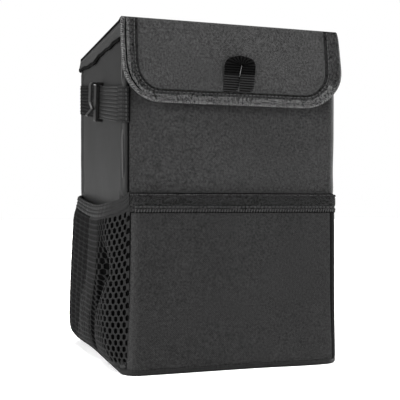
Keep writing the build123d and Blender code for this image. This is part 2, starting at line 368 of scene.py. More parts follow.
# Welded vinyl film: smooth with a soft sheen and slow ripples
FILM = Finish(
    "welded_vinyl_film", "film", "#191919", "#282828", Pattern.FILM, 14.0, 0.35, 0.46,
    ior=1.53, specular=0.25, mottle_mm=50.0, fleck=0.2,
)
# Injection-moulded acetal: glossy black with a faint orange-peel
ACETAL = Finish(
    "moulded_acetal_black", "hook_plastic", "#050505", "#0e0e0e", Pattern.MOULDED, 0.9, 0.02, 0.3,
    ior=1.48, specular=0.28, mottle_mm=8.0, fleck=0.3,
)
# Rolled polyethylene board: dull grey-black sheet
BOARD = Finish(
    "rolled_polyethylene_board", "stiffener", "#1c1c1c", "#2a2a2a", Pattern.MOULDED, 2.0, 0.05, 0.55, ior=1.51
)
# Spun polyester sewing thread: a shade paler than the cloth, with a twist that shows as cross lines
THREAD = Finish(
    "spun_polyester_thread", "binding_tape", "#141414", "#505050", Pattern.CROSS_RIBS, 0.6, 0.04, 0.6,
    specular=0.15,
)
# Pale roll in the slit of the pull loop: a painted highlight on the edge of one leg
HIGHLIGHT_THREAD = replace(
    THREAD, name="highlight_line_thread", dark="#303030", light="#6c6c6c", specular=0.2
)


def smooth(value: Array | float, low: float, high: float) -> Array:
    """Smooth step from 0 at low to 1 at high."""
    share = np.clip((np.asarray(value, float) - low) / (high - low), 0.0, 1.0)
    return share * share * (3 - 2 * share)


def ripple(a: Array, b: Array, size_mm: float, seed: int) -> Array:
    """Slow random waves over two coordinates, always the same for one seed.

    Args:
        a: First coordinate in mm.
        b: Second coordinate in mm.
        size_mm: Typical width of a wave.
        seed: Number that picks the waves.

    Returns:
        Heights that mostly lie between -1 and 1.
    """
    draw = np.random.default_rng(seed)
    total = np.zeros(np.broadcast(a, b).shape)
    for _ in range(RIPPLE_WAVES):
        turn, phase = draw.uniform(0, 2 * math.pi, 2)
        wide = size_mm * draw.uniform(0.7, 1.8)
        total += np.sin((a * math.cos(turn) + b * math.sin(turn)) * 2 * math.pi / wide + phase)
    return 2 * total / RIPPLE_WAVES


def unit(vectors: Array) -> Array:
    """The same directions with length 1."""
    return vectors / np.maximum(np.linalg.norm(vectors, axis=-1, keepdims=True), 1e-9)


def lengths(points: Array) -> Array:
    """Length along a line of points at each of them."""
    return np.concatenate([[0], np.cumsum(np.linalg.norm(np.diff(points, axis=0), axis=-1))])


def grid_normals(grid: Array) -> Array:
    """Normals of a grid of points, from the run of its rows and columns."""
    return unit(np.cross(np.gradient(grid, axis=0), np.gradient(grid, axis=1)))


def with_z(plan: Array, z: Array | float) -> Array:
    """Adds a height to points seen from above."""
    return np.concatenate([plan, np.broadcast_to(z, plan.shape[:-1])[..., None]], axis=-1)


def mirrored(points: Array, side: Side) -> Array:
    """Moves points worked out for the right side to the side that is meant."""
    return points * np.array([side.value, 1, 1])


def new_piece(
    name: str, points: Array, faces: Sequence[Sequence[int]], cloth: Array, finish: Finish
) -> bpy.types.Object:
    """Makes one mesh object.

    Args:
        name: Name of the piece.
        points: Vertices in mm.
        faces: Vertex numbers of each face.
        cloth: Position on the flat cloth in mm, one for each corner of each face in turn.
        finish: What it is made of.

    Returns:
        The object, linked to the scene.
    """
    mesh = bpy.data.meshes.new(name)
    mesh.from_pydata((np.asarray(points) * MM).tolist(), [], [tuple(f) for f in faces])
    layer = mesh.uv_layers.new(name=GRAIN)
    layer.data.foreach_set("uv", (np.asarray(cloth, float) * MM).ravel())
    mesh.polygons.foreach_set("use_smooth", [True] * len(mesh.polygons))
    mesh.materials.append(finish.material())
    mesh.update()
    mesh.set_sharp_from_angle(angle=math.radians(SHARP_EDGE_DEG))
    made = bpy.data.objects.new(name, mesh)
    bpy.context.scene.collection.objects.link(made)
    return made


def flat_coordinates(grid: Array) -> Array:
    """Lays a grid out flat, measured along its middle row and column.

    Args:
        grid: Points in mm, rows by columns.

    Returns:
        Place of each point on the flat cloth in mm.
    """
    rows, columns = grid.shape[:2]
    u, v = lengths(grid[rows // 2]), lengths(grid[:, columns // 2])
    return np.stack(np.broadcast_arrays(u[None, :], v[:, None]), axis=-1)


def sheet(
    name: str, grid: Array, thickness: float, finish: Finish, outward: Array, cloth: Array | None = None
) -> bpy.types.Object:
    """Makes a thin closed sheet whose middle surface is a grid of points.

    Args:
        name: Name of the piece.
        grid: Points in mm, rows by columns.
        thickness: Thickness in mm.
        finish: What it is made of.
        outward: A direction, or one for each point, on the sheet's outer side.
        cloth: Place of each point on the flat cloth in mm, or None to measure it along the grid.

    Returns:
        The sheet.
    """
    rows, columns = grid.shape[:2]
    normal = grid_normals(grid)
    flipped = np.sum(normal * outward) < 0
    shift = normal * thickness / 2 * (-1 if flipped else 1)
    cloth = flat_coordinates(grid) if cloth is None else cloth
    points = np.concatenate([(grid + shift).reshape(-1, 3), (grid - shift).reshape(-1, 3)])
    index = np.arange(rows * columns).reshape(rows, columns)
    quads = np.stack([index[:-1, :-1], index[1:, :-1], index[1:, 1:], index[:-1, 1:]], axis=-1).reshape(-1, 4)
    back = rows * columns
    border = np.concatenate([index[:-1, 0], index[-1, :-1], index[:0:-1, -1], index[0, :0:-1]])
    after = np.roll(border, -1)
    rim = np.stack([border, border + back, after + back, after], axis=-1)
    if flipped:
        quads, rim = quads[:, ::-1], rim[:, ::-1]
    faces = np.concatenate([quads, quads[:, ::-1] + back, rim])
    flat = np.concatenate([cloth.reshape(-1, 2)] * 2)
    return new_piece(name, points, faces.tolist(), flat[faces].reshape(-1, 2), finish)


def loft(name: str, rings: Array, finish: Finish, closed: bool = False) -> bpy.types.Object:
    """Makes a solid from closed sections set along a path.

    Args:
        name: Name of the piece.
        rings: Points in mm, path step by section point.
        finish: What it is made of.
        closed: Whether the path's end joins its start.

    Returns:
        The solid, with end caps unless it is closed.
    """
    steps, count = rings.shape[:2]
    centre = rings.mean(axis=1)
    spin = np.cross(rings[0] - centre[0], np.roll(rings[0], -1, axis=0) - centre[0]).sum(axis=0)
    if np.dot(spin, centre[1] - centre[0]) < 0:
        rings = rings[:, ::-1]
    around = lengths(np.concatenate([rings[0], rings[0][:1]]))
    along = lengths(np.concatenate([centre, centre[:1]]))
    last = steps if closed else steps - 1
    i, j = (a.ravel() for a in np.meshgrid(np.arange(last), np.arange(count), indexing="ij"))
    nxt, turn = (i + 1) % steps, (j + 1) % count
    faces = np.stack([i * count + j, i * count + turn, nxt * count + turn, nxt * count + j], axis=-1).tolist()
    u = np.stack([around[j], around[j + 1], around[j + 1], around[j]], axis=-1)
    v = np.stack([along[i], along[i], along[i + 1], along[i + 1]], axis=-1)
    cloth = np.stack([u, v], axis=-1).reshape(-1, 2)
    if not closed:
        faces.append(list(range(count))[::-1])
        faces.append(list(range((steps - 1) * count, steps * count)))
        cap = np.stack([around[:-1], np.zeros(count)], axis=-1)
        cloth = np.concatenate([cloth, cap[::-1], cap])
    return new_piece(name, rings.reshape(-1, 3), faces, cloth, finish)


def roll(name: str, path: Array, radius: float, finish: Finish, body: Body) -> None:
    """Lays a round roll of cloth along a path, with its ends drawn in.

    Args:
        name: Name of the piece.
        path: Points in mm along the roll's middle.
        radius: Radius in mm.
        finish: What it is made of.
        body: The body that it moves with.
    """
    run = unit(np.gradient(path, axis=0))
    side = unit(np.cross(run, np.array([0.25, 0.15, 0.95])))
    up = np.cross(side, run)
    turn = np.arange(ROLL_SIDES) * 2 * math.pi / ROLL_SIDES
    size = np.full(len(path), radius)
    size[[0, -1]] *= 0.3
    size[[1, -2]] *= 0.75
    spokes = np.cos(turn)[None, :, None] * side[:, None] + np.sin(turn)[None, :, None] * up[:, None]
    install(loft(name, path[:, None] + spokes * size[:, None, None], finish), body, finish)


@dataclass(frozen=True)
class StitchStyle:
    """Sewing seen from above: short fat loops of thread with small gaps (mm, degrees from the row)."""

    pitch: float = 3.0
    length: float = 2.3
    width: float = 0.6
    height: float = 0.5
    turn: float = 0.0
    sink: float = 0.2
    sides: int = 6

    def template(self) -> tuple[Array, list[tuple[int, ...]]]:
        """One stitch lying along its first axis.

        Returns:
            Its points and faces.
        """
        turns = np.arange(self.sides) * 2 * math.pi / self.sides
        stations = [(-0.5, 0.25), (-0.36, 0.8), (0.0, 1.0), (0.36, 0.8), (0.5, 0.25)]
        points = []
        for s, k in stations:
            for a in turns:
                y, z = math.cos(a) * self.width / 2 * k, (math.sin(a) * k - self.sink) * self.height / 2
                points.append((s * self.length, y, z))
        faces = []
        for ring in range(len(stations) - 1):
            for j in range(self.sides):
                a, b = ring * self.sides + j, ring * self.sides + (j + 1) % self.sides
                faces.append((a, b, b + self.sides, a + self.sides))
        faces.append(tuple(range(self.sides))[::-1])
        faces.append(tuple(range(len(points) - self.sides, len(points))))
        return np.array(points), faces

    def sew(self, name: str, runs: Iterable[tuple[Array, Array]], body: Body) -> None:
        """Sews rows of stitches as one piece.

        Args:
            name: Name of the piece.
            runs: Lines of points and outward directions that the rows follow.
            body: The body that it moves with.
        """
        points, faces, offset = [], [], 0
        shape, shape_faces = self.template()
        slant = math.radians(self.turn)
        for line, outward in runs:
            along = lengths(line)
            places = np.arange(self.pitch / 2, along[-1] - self.pitch / 2, self.pitch)
            centre, ahead, behind = (
                np.stack([np.interp(places + step, along, line[:, k]) for k in range(3)], axis=-1)
                for step in (0.0, 0.5, -0.5)
            )
            up = unit(np.stack([np.interp(places, along, outward[:, k]) for k in range(3)], axis=-1))
            run = unit(ahead - behind)
            across = unit(np.cross(up, run))
            lay = math.cos(slant) * run + math.sin(slant) * across
            for c, t, b, n in zip(centre, lay, np.cross(up, lay), up):
                points.append(c + shape[:, :1] * t + shape[:, 1:2] * b + shape[:, 2:3] * n)
                faces.extend(tuple(offset + k for k in f) for f in shape_faces)
                offset += len(shape)
        points = np.concatenate(points)
        cloth = np.concatenate([points[list(f)][:, [0, 2]] for f in faces])
        install(new_piece(name, points, faces, cloth, THREAD), body, THREAD)


LOCKSTITCH = StitchStyle()
OVERCAST = StitchStyle(pitch=2.1, length=2.6, width=0.55, turn=74.0)


def describe(piece: bpy.types.Object, finish: Finish, *nodes: str) -> None:
    """Hides the solids that a piece replaces, and reports it.

    Args:
        piece: The piece.
        finish: Its finish; not used.
        nodes: The solids that it replaces.
    """
    if nodes:
        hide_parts(*nodes)
    count = len(piece.data.polygons)
    LOG.info("%s: %d faces, stands for %s", piece.name, count, ", ".join(nodes) or "no solid")


def install(piece: bpy.types.Object, body: Body, finish: Finish, *nodes: str) -> None:
    """Puts a piece on its body, in place of the solids it stands for.

    Args:
        piece: The piece.
        body: The body that it moves with.
        finish: Its finish, handed on to describe.
        nodes: The solids that it replaces.
    """
    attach(piece, body.value)
    describe(piece, finish, *nodes)


def bridge(
    piece: bpy.types.Object,
    bodies: tuple[Body, Body],
    start: Sequence[float],
    end: Sequence[float],
    finish: Finish,
    *nodes: str,
) -> None:
    """Leaves cloth on no body, its place baked into its points, in place of the solids it stands for.

    Args:
        piece: The piece.
        bodies: Not used.
        start: Not used.
        end: Not used.
        finish: Its finish, handed on to describe.
        nodes: The solids that it replaces.
    """
    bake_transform(piece)
    describe(piece, finish, *nodes)


def shade_faces(piece: bpy.types.Object, finishes: Sequence[Finish], pick: Callable[[Array], int]) -> None:
    """Gives a piece further finishes and picks one for each face.

    Args:
        piece: The piece.
        finishes: Finishes that come after its own.
        pick: Number of the finish, 0 for the piece's own, from the middle of a face in mm.
    """
    for finish in finishes:
        piece.data.materials.append(finish.material())
    for face in piece.data.polygons:
        face.material_index = int(pick(np.array(face.center) / MM))


def box_mm(node: str) -> tuple[Array, Array]:
    """Lowest and highest corner of a solid in mm."""
    low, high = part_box(node)
    return np.array(low) / MM, np.array(high) / MM


@dataclass
class BinSizes:
    """Sizes that several sub-assemblies share, most of them read from the solids (mm)."""

    corner: float = 5.0
    cloth: float = 0.8
    base_out: float = 7.4
    base_bulge: float = 3.0
    base_bulge_x: float = 60.0
    base_bulge_run: float = 27.0
    half_w: float = field(init=False)
    half_d: float = field(init=False)
    seam_x: float = field(init=False)
    seam_z: float = field(init=False)
    wall_top: float = field(init=False)
    rim_low: float = field(init=False)
    rim_top: float = field(init=False)
    lid_half: float = field(init=False)
    lid_front: float = field(init=False)
    lid_rear: float = field(init=False)
    lid_low: float = field(init=False)
    lid_top: float = field(init=False)

    def __post_init__(self) -> None:
        """Reads the shared sizes from the solids' boxes."""
        base = box_mm("base_panel")
        panel = box_mm("right_panel")
        rim = box_mm("rim_binding")
        cover = box_mm("lid_cover")
        self.half_w, self.half_d, self.seam_z = base[1]
        self.seam_x = panel[0][0]
        self.wall_top = panel[1][2]
        self.rim_low, self.rim_top = rim[0][2], rim[1][2]
        self.lid_half, self.lid_rear, self.lid_top = cover[1]
        self.lid_front = -cover[0][1]
        self.lid_low = box_mm("lid_lining")[0][2]

    def base_reach(self, x: Array) -> Array:
        """How far the soft front edge of the base stands out of the front panel, at a place across."""
        hump = np.exp(-(((x - self.base_bulge_x) / self.base_bulge_run) ** 2))
        return self.base_out + self.base_bulge * hump


@dataclass
class Outline:
    """A line seen from above with rounded left-hand corners and its outer side on its right (mm).

    Attributes:
        corners: Points that the line turns at, in order.
        radii: Rounding at each point, 0 at the ends of an open line.
        closed: Whether the line joins its own start.
        step: Spacing of the points on straight runs.
    """

    corners: Sequence[tuple[float, float]]
    radii: Sequence[float]
    closed: bool = False
    step: float = 2.6
    points: Array = field(init=False)
    normals: Array = field(init=False)
    along: Array = field(init=False)
    length: float = field(init=False)

    def __post_init__(self) -> None:
        """Samples the line."""
        marks = np.asarray(self.corners, float)
        last = len(marks) - 1
        points: list[Array] = []
        normals: list[Array] = []
        for k, here in enumerate(marks):
            came = unit(here - marks[k - 1]) if k or self.closed else unit(marks[1] - here)
            goes = unit(marks[(k + 1) % len(marks)] - here) if k < last or self.closed else came
            turn = math.atan2(came[0] * goes[1] - came[1] * goes[0], float(came @ goes))
            count = 2 + round(turn * 5) if self.radii[k] else 1
            heading = math.atan2(came[1], came[0]) + turn * np.linspace(0, 1, count)
            out = np.stack([np.sin(heading), -np.cos(heading)], axis=-1)
            inward = np.array([-came[1], came[0]]) - came * math.tan(turn / 2)
            arc = here + self.radii[k] * (inward + out)
            if points:
                self.fill(points, normals, arc[0], out[0])
            points.extend(arc)
            normals.extend(out)
        if self.closed:
            self.fill(points, normals, points[0], normals[0])
        self.points, self.normals = np.array(points), np.array(normals)
        ring = self.points if not self.closed else np.concatenate([self.points, self.points[:1]])
        run = lengths(ring)
        self.along, self.length = run[: len(self.points)], float(run[-1])

    def fill(self, points: list[Array], normals: list[Array], target: Array, out: Array) -> None:
        """Adds points on a straight run, up to but not with its far end.

        Args:
            points: Points so far.
            normals: Outward directions so far.
            target: Far end of the run.
            out: Outward direction of the run.
        """
        start = points[-1]
        steps = max(1, round(float(np.linalg.norm(target - start)) / self.step))
        for share in np.arange(1, steps) / steps:
            points.append(start + (target - start) * share)
            normals.append(out)

    def at(self, s: Array) -> tuple[Array, Array]:
        """Points and outward directions at lengths along the line.

        Args:
            s: Lengths from its start in mm.

        Returns:
            Points and unit normals, with X and Y last.
        """
        period = self.length if self.closed else None
        point, normal = (
            np.stack([np.interp(s, self.along, values[:, k], period=period) for k in range(2)], axis=-1)
            for values in (self.points, self.normals)
        )
        return point, unit(normal)


@dataclass(frozen=True)
class WallCut:
    """One panel of the walls, from seam to seam (mm).

    Attributes:
        side: Word for the side that it covers, as in its names.
        corners: Points of its line seen from above.
        radii: Rounding at those points.
        finish: What it is made of.
        belly: How far it stands out sideways between the net and the lid.
        seed: Number that picks its slack.
    """

    side: str
    corners: tuple[tuple[float, float], ...]
    radii: tuple[float, ...]
    finish: Finish
    belly: float
    seed: int


@dataclass
class CoveredBody:
    """The outer cloth of the walls and the base, with the tape and the film inside (mm)."""

    sizes: BinSizes
    slack: float = 0.45
    tuck: float = 0.9
    tuck_width: float = 2.2
    crease: float = 0.5
    pinch: float = 0.75
    pinch_sway: float = 0.45
    pinch_sink: float = 1.2
    pinch_levels: tuple[tuple[float, float], ...] = ((139.0, 177.0), (206.0, 240.0))
    net_room: float = 2.6
    net_level: float = 132.0
    front_belly: float = 3.6
    left_belly: float = 1.5
    left_belly_run: float = 13.0
    belly_levels: tuple[float, float] = (112.0, 136.0)
    step: float = 3.0
    seam_shift: float = 0.5
    seam_sink: float = 0.35
    seam_welt: float = 0.7
    left_corner: float = 4.5
    right_corner: float = 5.5
    right_turn: float = 10.0
    base_round: float = 1.6
    base_lap: float = 0.4
    base_right: float = 2.0
    base_corners: tuple[float, ...] = (13.0, 11.0, 7.0, 7.0)
    film: float = 0.4
    film_slack: float = 0.9
    film_lip: float = 2.6
    film_radius: float = 3.0
    tape: float = 0.6
    wall: float = 2.8

    def build(self) -> None:
        """Makes every piece of the walls and the base."""
        for cut in self.cuts():
            self.wall_cloth(cut)
        self.seam_stitches()
        self.corner_creases()
        self.base_cloth()
        self.tub_walls()
        self.tub_floor()
        self.rim_tape()
        self.dress_boards()

    def cuts(self) -> list[WallCut]:
        """Sets out the walls' panels.

        Returns:
            Four panels, of which the front one turns the right corner and the left one both of its own.
        """
        s = self.sizes
        w, d, x = s.half_w, s.half_d, s.seam_x
        left, turn = -x - self.seam_shift, self.right_turn - d
        front, side = (0, self.right_corner, 0), (0, s.corner, self.left_corner, 0)
        return [
            WallCut("front", ((left, -d), (w, -d), (w, turn)), front, CLOTH, self.front_belly, 21),
            WallCut("right", ((w, turn), (w, d), (x, d)), (0, s.corner, 0), SIDE_CLOTH, 0.0, 12),
            WallCut("back", ((x, d), (-x, d)), (0, 0), CLOTH, 0.0, 23),
            WallCut("left", ((-x, d), (-w, d), (-w, -d), (left, -d)), side, SIDE_CLOTH, self.left_belly, 14),
        ]

    def heights(self) -> Array:
        """Sets out the levels of the walls' grid.

        Returns:
            Levels from the foot up, close together at the base seam.
        """
        s = self.sizes
        low = s.seam_z - 0.2 + np.array([0, 0.5, 1.2, 2.2])
        count = int((s.wall_top - low[-1]) / self.step)
        return np.concatenate([low, np.linspace(low[-1] + 2, s.wall_top, count)])

    def seam_tuck(self, distance: Array) -> Array:
        """How far cloth turns in, at a distance from a seam."""
        share = np.clip(1 - distance / self.tuck_width, 0, 1)
        return self.tuck * share * share

    def wall_cloth(self, cut: WallCut) -> None:
        """Panel stretched over its board, slack between its seams.

        Args:
            cut: The panel.
        """
        sizes = self.sizes
        line = Outline(cut.corners, cut.radii)
        ends = np.array([0.6, 1.3, 2.2])
        columns = np.unique(np.concatenate([line.along, ends, line.length - ends]))
        z, run = np.meshgrid(self.heights(), columns, indexing="ij")
        point, normal = line.at(run)
        edge = np.minimum(run, line.length - run)
        inner = smooth(edge, 2, 22) * smooth(z, 6, 30) * smooth(sizes.wall_top - z, 6, 30)
        belly = cut.belly * np.abs(normal[..., 0]) * smooth(z, *self.belly_levels)
        belly = belly * smooth(sizes.wall_top - z, 3, 12)
        if cut.side == "front":
            belly = belly * smooth(line.length - run, 0.5, 5)
        else:
            belly = belly * smooth(self.left_belly_run - run, 0, 4)
        if cut.side == "left":
            ahead = line.length - run
            drawn = smooth(ahead, 0, 2.5) * smooth(10 - ahead, 0, 3) * smooth(z, 5, 12)
            belly = belly - self.net_room * drawn * smooth(self.net_level - z, 0, 7)
        corner = 2 * np.abs(normal[..., 0] * normal[..., 1])
        crease = self.crease * corner * ripple(z, 0 * z, 34, cut.seed) * smooth(sizes.wall_top - z, 12, 40)
        sunk = np.minimum(self.seam_tuck(edge) + self.seam_tuck(z - sizes.seam_z), self.tuck)
        loose = self.slack * inner * (1 + ripple(run, z, 90, cut.seed)) / 2
        off = loose + belly + crease - sunk - sizes.cloth / 2
        grid = with_z(point + normal * off[..., None], z)
        flat = np.stack([run, z], axis=-1)
        made = sheet(f"{cut.side}_cloth", grid, sizes.cloth, cut.finish, with_z(normal, 0.0), flat)
        install(made, Body.BIN, cut.finish, f"{cut.side}_panel")

    def seam_stitches(self) -> None:
        """Rows of stitches down the upright seams of the front and the back."""
        s = self.sizes
        z = np.linspace(s.wall_top - 1, s.seam_z + 4, 90)
        rows = []
        for x, facing in ((-s.seam_x - self.seam_shift, -1.0), (s.seam_x, 1.0), (-s.seam_x, 1.0)):
            y = facing * (s.half_d - self.seam_sink)
            place = np.stack([np.full_like(z, x), np.full_like(z, y), z], axis=-1)
            rows.append((place, np.tile([0.0, facing, 0.0], (len(z), 1))))
        LOCKSTITCH.sew("seam_stitches", rows, Body.BIN)
        # Black rolls in the seam grooves: painted shade lines
        for word, (place, out) in zip(("front", "back_right", "back_left"), rows):
            roll(f"{word}_seam_welt", place - out * 0.3, self.seam_welt, SHADE_WELT, Body.BIN)

    def corner_creases(self) -> None:
        """Hard creases in the cloth on the front left corner, below and above the strap, with a painted
        highlight.
        """
        s = self.sizes
        for name, (low, high) in zip(("lower", "upper"), self.pinch_levels):
            z = np.linspace(low, high, 40)
            sway = self.pinch_sway * ripple(z, 0 * z, 26, 3)
            sink = self.pinch_sink * (2 * (z - low) / (high - low) - 1) ** 4
            x = -s.half_w + 0.7 + sway + sink
            path = np.stack([x, -s.half_d + 1.5 - sway * 0.6 + sink, z], axis=-1)
            roll(f"corner_crease_{name}", path, self.pinch, CREASE_HIGHLIGHT_CLOTH, Body.BIN)

    def base_cloth(self) -> None:
        """Bottom panel with its soft turned-up edge, pushed out at the front."""
        s = self.sizes
        w, d = s.half_w + self.base_lap, s.half_d + self.base_lap
        right, front = w + self.base_right, s.half_d + s.base_out
        line = Outline(((-w, -front), (right, -front), (right, d), (-w, d)), self.base_corners, closed=True)
        ahead = smooth(-line.points[:, 1], s.half_d - 14, front)
        plan = line.points.copy()
        plan[:, 1] -= (s.base_reach(plan[:, 0]) - s.base_out) * ahead
        r = self.base_round
        rings = [(1.3, s.seam_z + 0.6), (0.5, s.seam_z + 0.4), (0.0, s.seam_z - 0.5)]
        rings += [(r * (1 - math.cos(a)), r * (1 - math.sin(a))) for a in np.linspace(0, math.pi / 2, 6)]
        rings += [(4.5, 0.0)]
        grid = [with_z(plan - line.normals * inset, z) for inset, z in rings]
        grid += [grid[-1] * np.array([k, k, 1]) for k in (0.9, 0.7, 0.4, 0.1, 0.004)]
        grid = np.array(grid)
        grid[..., 2] = np.maximum(grid[..., 2], 0) + s.cloth / 2
        grid = np.concatenate([grid, grid[:, :1]], axis=1)
        flat = grid[..., :2] + grid[..., 2:]
        # The base takes the darkest copy of the cloth: painted shade
        made = sheet("base_cloth", grid, s.cloth, SHADED_BASE_CLOTH, grid - np.array([0, 0, 30]), flat)
        install(made, Body.BIN, SHADED_BASE_CLOTH, "base_panel")

    def tub_walls(self) -> None:
        """Band of film welded into a tub, a little slack between its welds."""
        low, high = box_mm("lining")
        x, y = high[:2] - self.film / 2
        line = Outline(((-x, -y), (x, -y), (x, y), (-x, y)), [self.film_radius] * 4, closed=True, step=4.0)
        levels = np.linspace(low[2] + 0.5, high[2], 50)
        z, run = np.meshgrid(levels, line.along, indexing="ij")
        inner = smooth(z, low[2] + 2, low[2] + 20) * smooth(high[2] - z, 12, 30)
        slack = self.film_slack * inner * (1 + ripple(run, z, 55, 7)) / 2
        point, normal = line.at(run)
        grid = with_z(point - normal * slack[..., None], z)
        grid = np.concatenate([grid, grid[:, :1]], axis=1)
        made = sheet("tub_wall_film", grid, self.film, FILM, np.array([0, 0, 120]) - grid)
        install(made, Body.BIN, FILM, "lining")

    def tub_floor(self) -> None:
        """Film floor with a welded lip turned up against the walls."""
        low, high = box_mm("lining")
        reach = high[:2] - self.film - 0.2
        near = np.arange(4)
        x, y = (np.concatenate([near - r, np.linspace(4 - r, r - 4, 40), r - near[::-1]]) for r in reach)
        gx, gy = np.meshgrid(x, y, indexing="ij")
        edge = np.minimum(reach[0] - np.abs(gx), reach[1] - np.abs(gy))
        lip = self.film_lip * np.clip(1 - edge / 3, 0, 1) ** 2
        wave = 0.2 * smooth(edge, 2, 15) * (1 + ripple(gx, gy, 45, 5))
        grid = np.stack([gx, gy, low[2] + self.film / 2 + 0.1 + lip + wave], axis=-1)
        made = sheet("tub_floor_film", grid, self.film, FILM, np.array([0, 0, 1]))
        install(made, Body.BIN, FILM)

    def rim_tape(self) -> None:
        """Tape folded over the walls' top edge, with its rows of stitches."""
        s = self.sizes
        wall, t = self.wall, self.tape
        x, y = s.half_w, s.half_d
        radii = (self.left_corner, self.right_corner, s.corner, s.corner)
        line = Outline(((-x, -y), (x, -y), (x, y), (-x, y)), radii, closed=True)
        low, top = s.rim_low, s.rim_top
        section = [
            (0.0, low), (t * 0.7, low), (t, low + 0.5), (t, low + 1.2), (t * 0.75, low + 1.6), (t, low + 2.0),
            (t, top - 1.0), (t * 0.6, top - 0.3), (-0.2, top), (-wall + 0.2, top),
            (-wall - t * 0.6, top - 0.3), (-wall - t, top - 1.0), (-wall - t, low + 0.4), (-wall, low),
            (-wall, top - t), (0.0, top - t),
        ]
        rings = np.stack([with_z(line.points + line.normals * n, z) for n, z in section], axis=1)
        install(loft("rim_tape", rings, TAPE, closed=True), Body.BIN, TAPE, "rim_binding")
        flat = with_z(line.normals, 0.0)
        outer = with_z(line.points + line.normals * t, low + 1.6)
        inner = with_z(line.points - line.normals * (wall + t), low + 1.6)
        LOCKSTITCH.sew("rim_stitches", [(outer, flat), (inner, -flat)], Body.BIN)

    def dress_boards(self) -> None:
        """Gives the hidden boards their own sheet material."""
        for node in ("front_board", "back_board", "left_board", "right_board", "base_board", "lid_board"):
            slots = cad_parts[node].data.materials
            slots.clear()
            slots.append(BOARD.material())


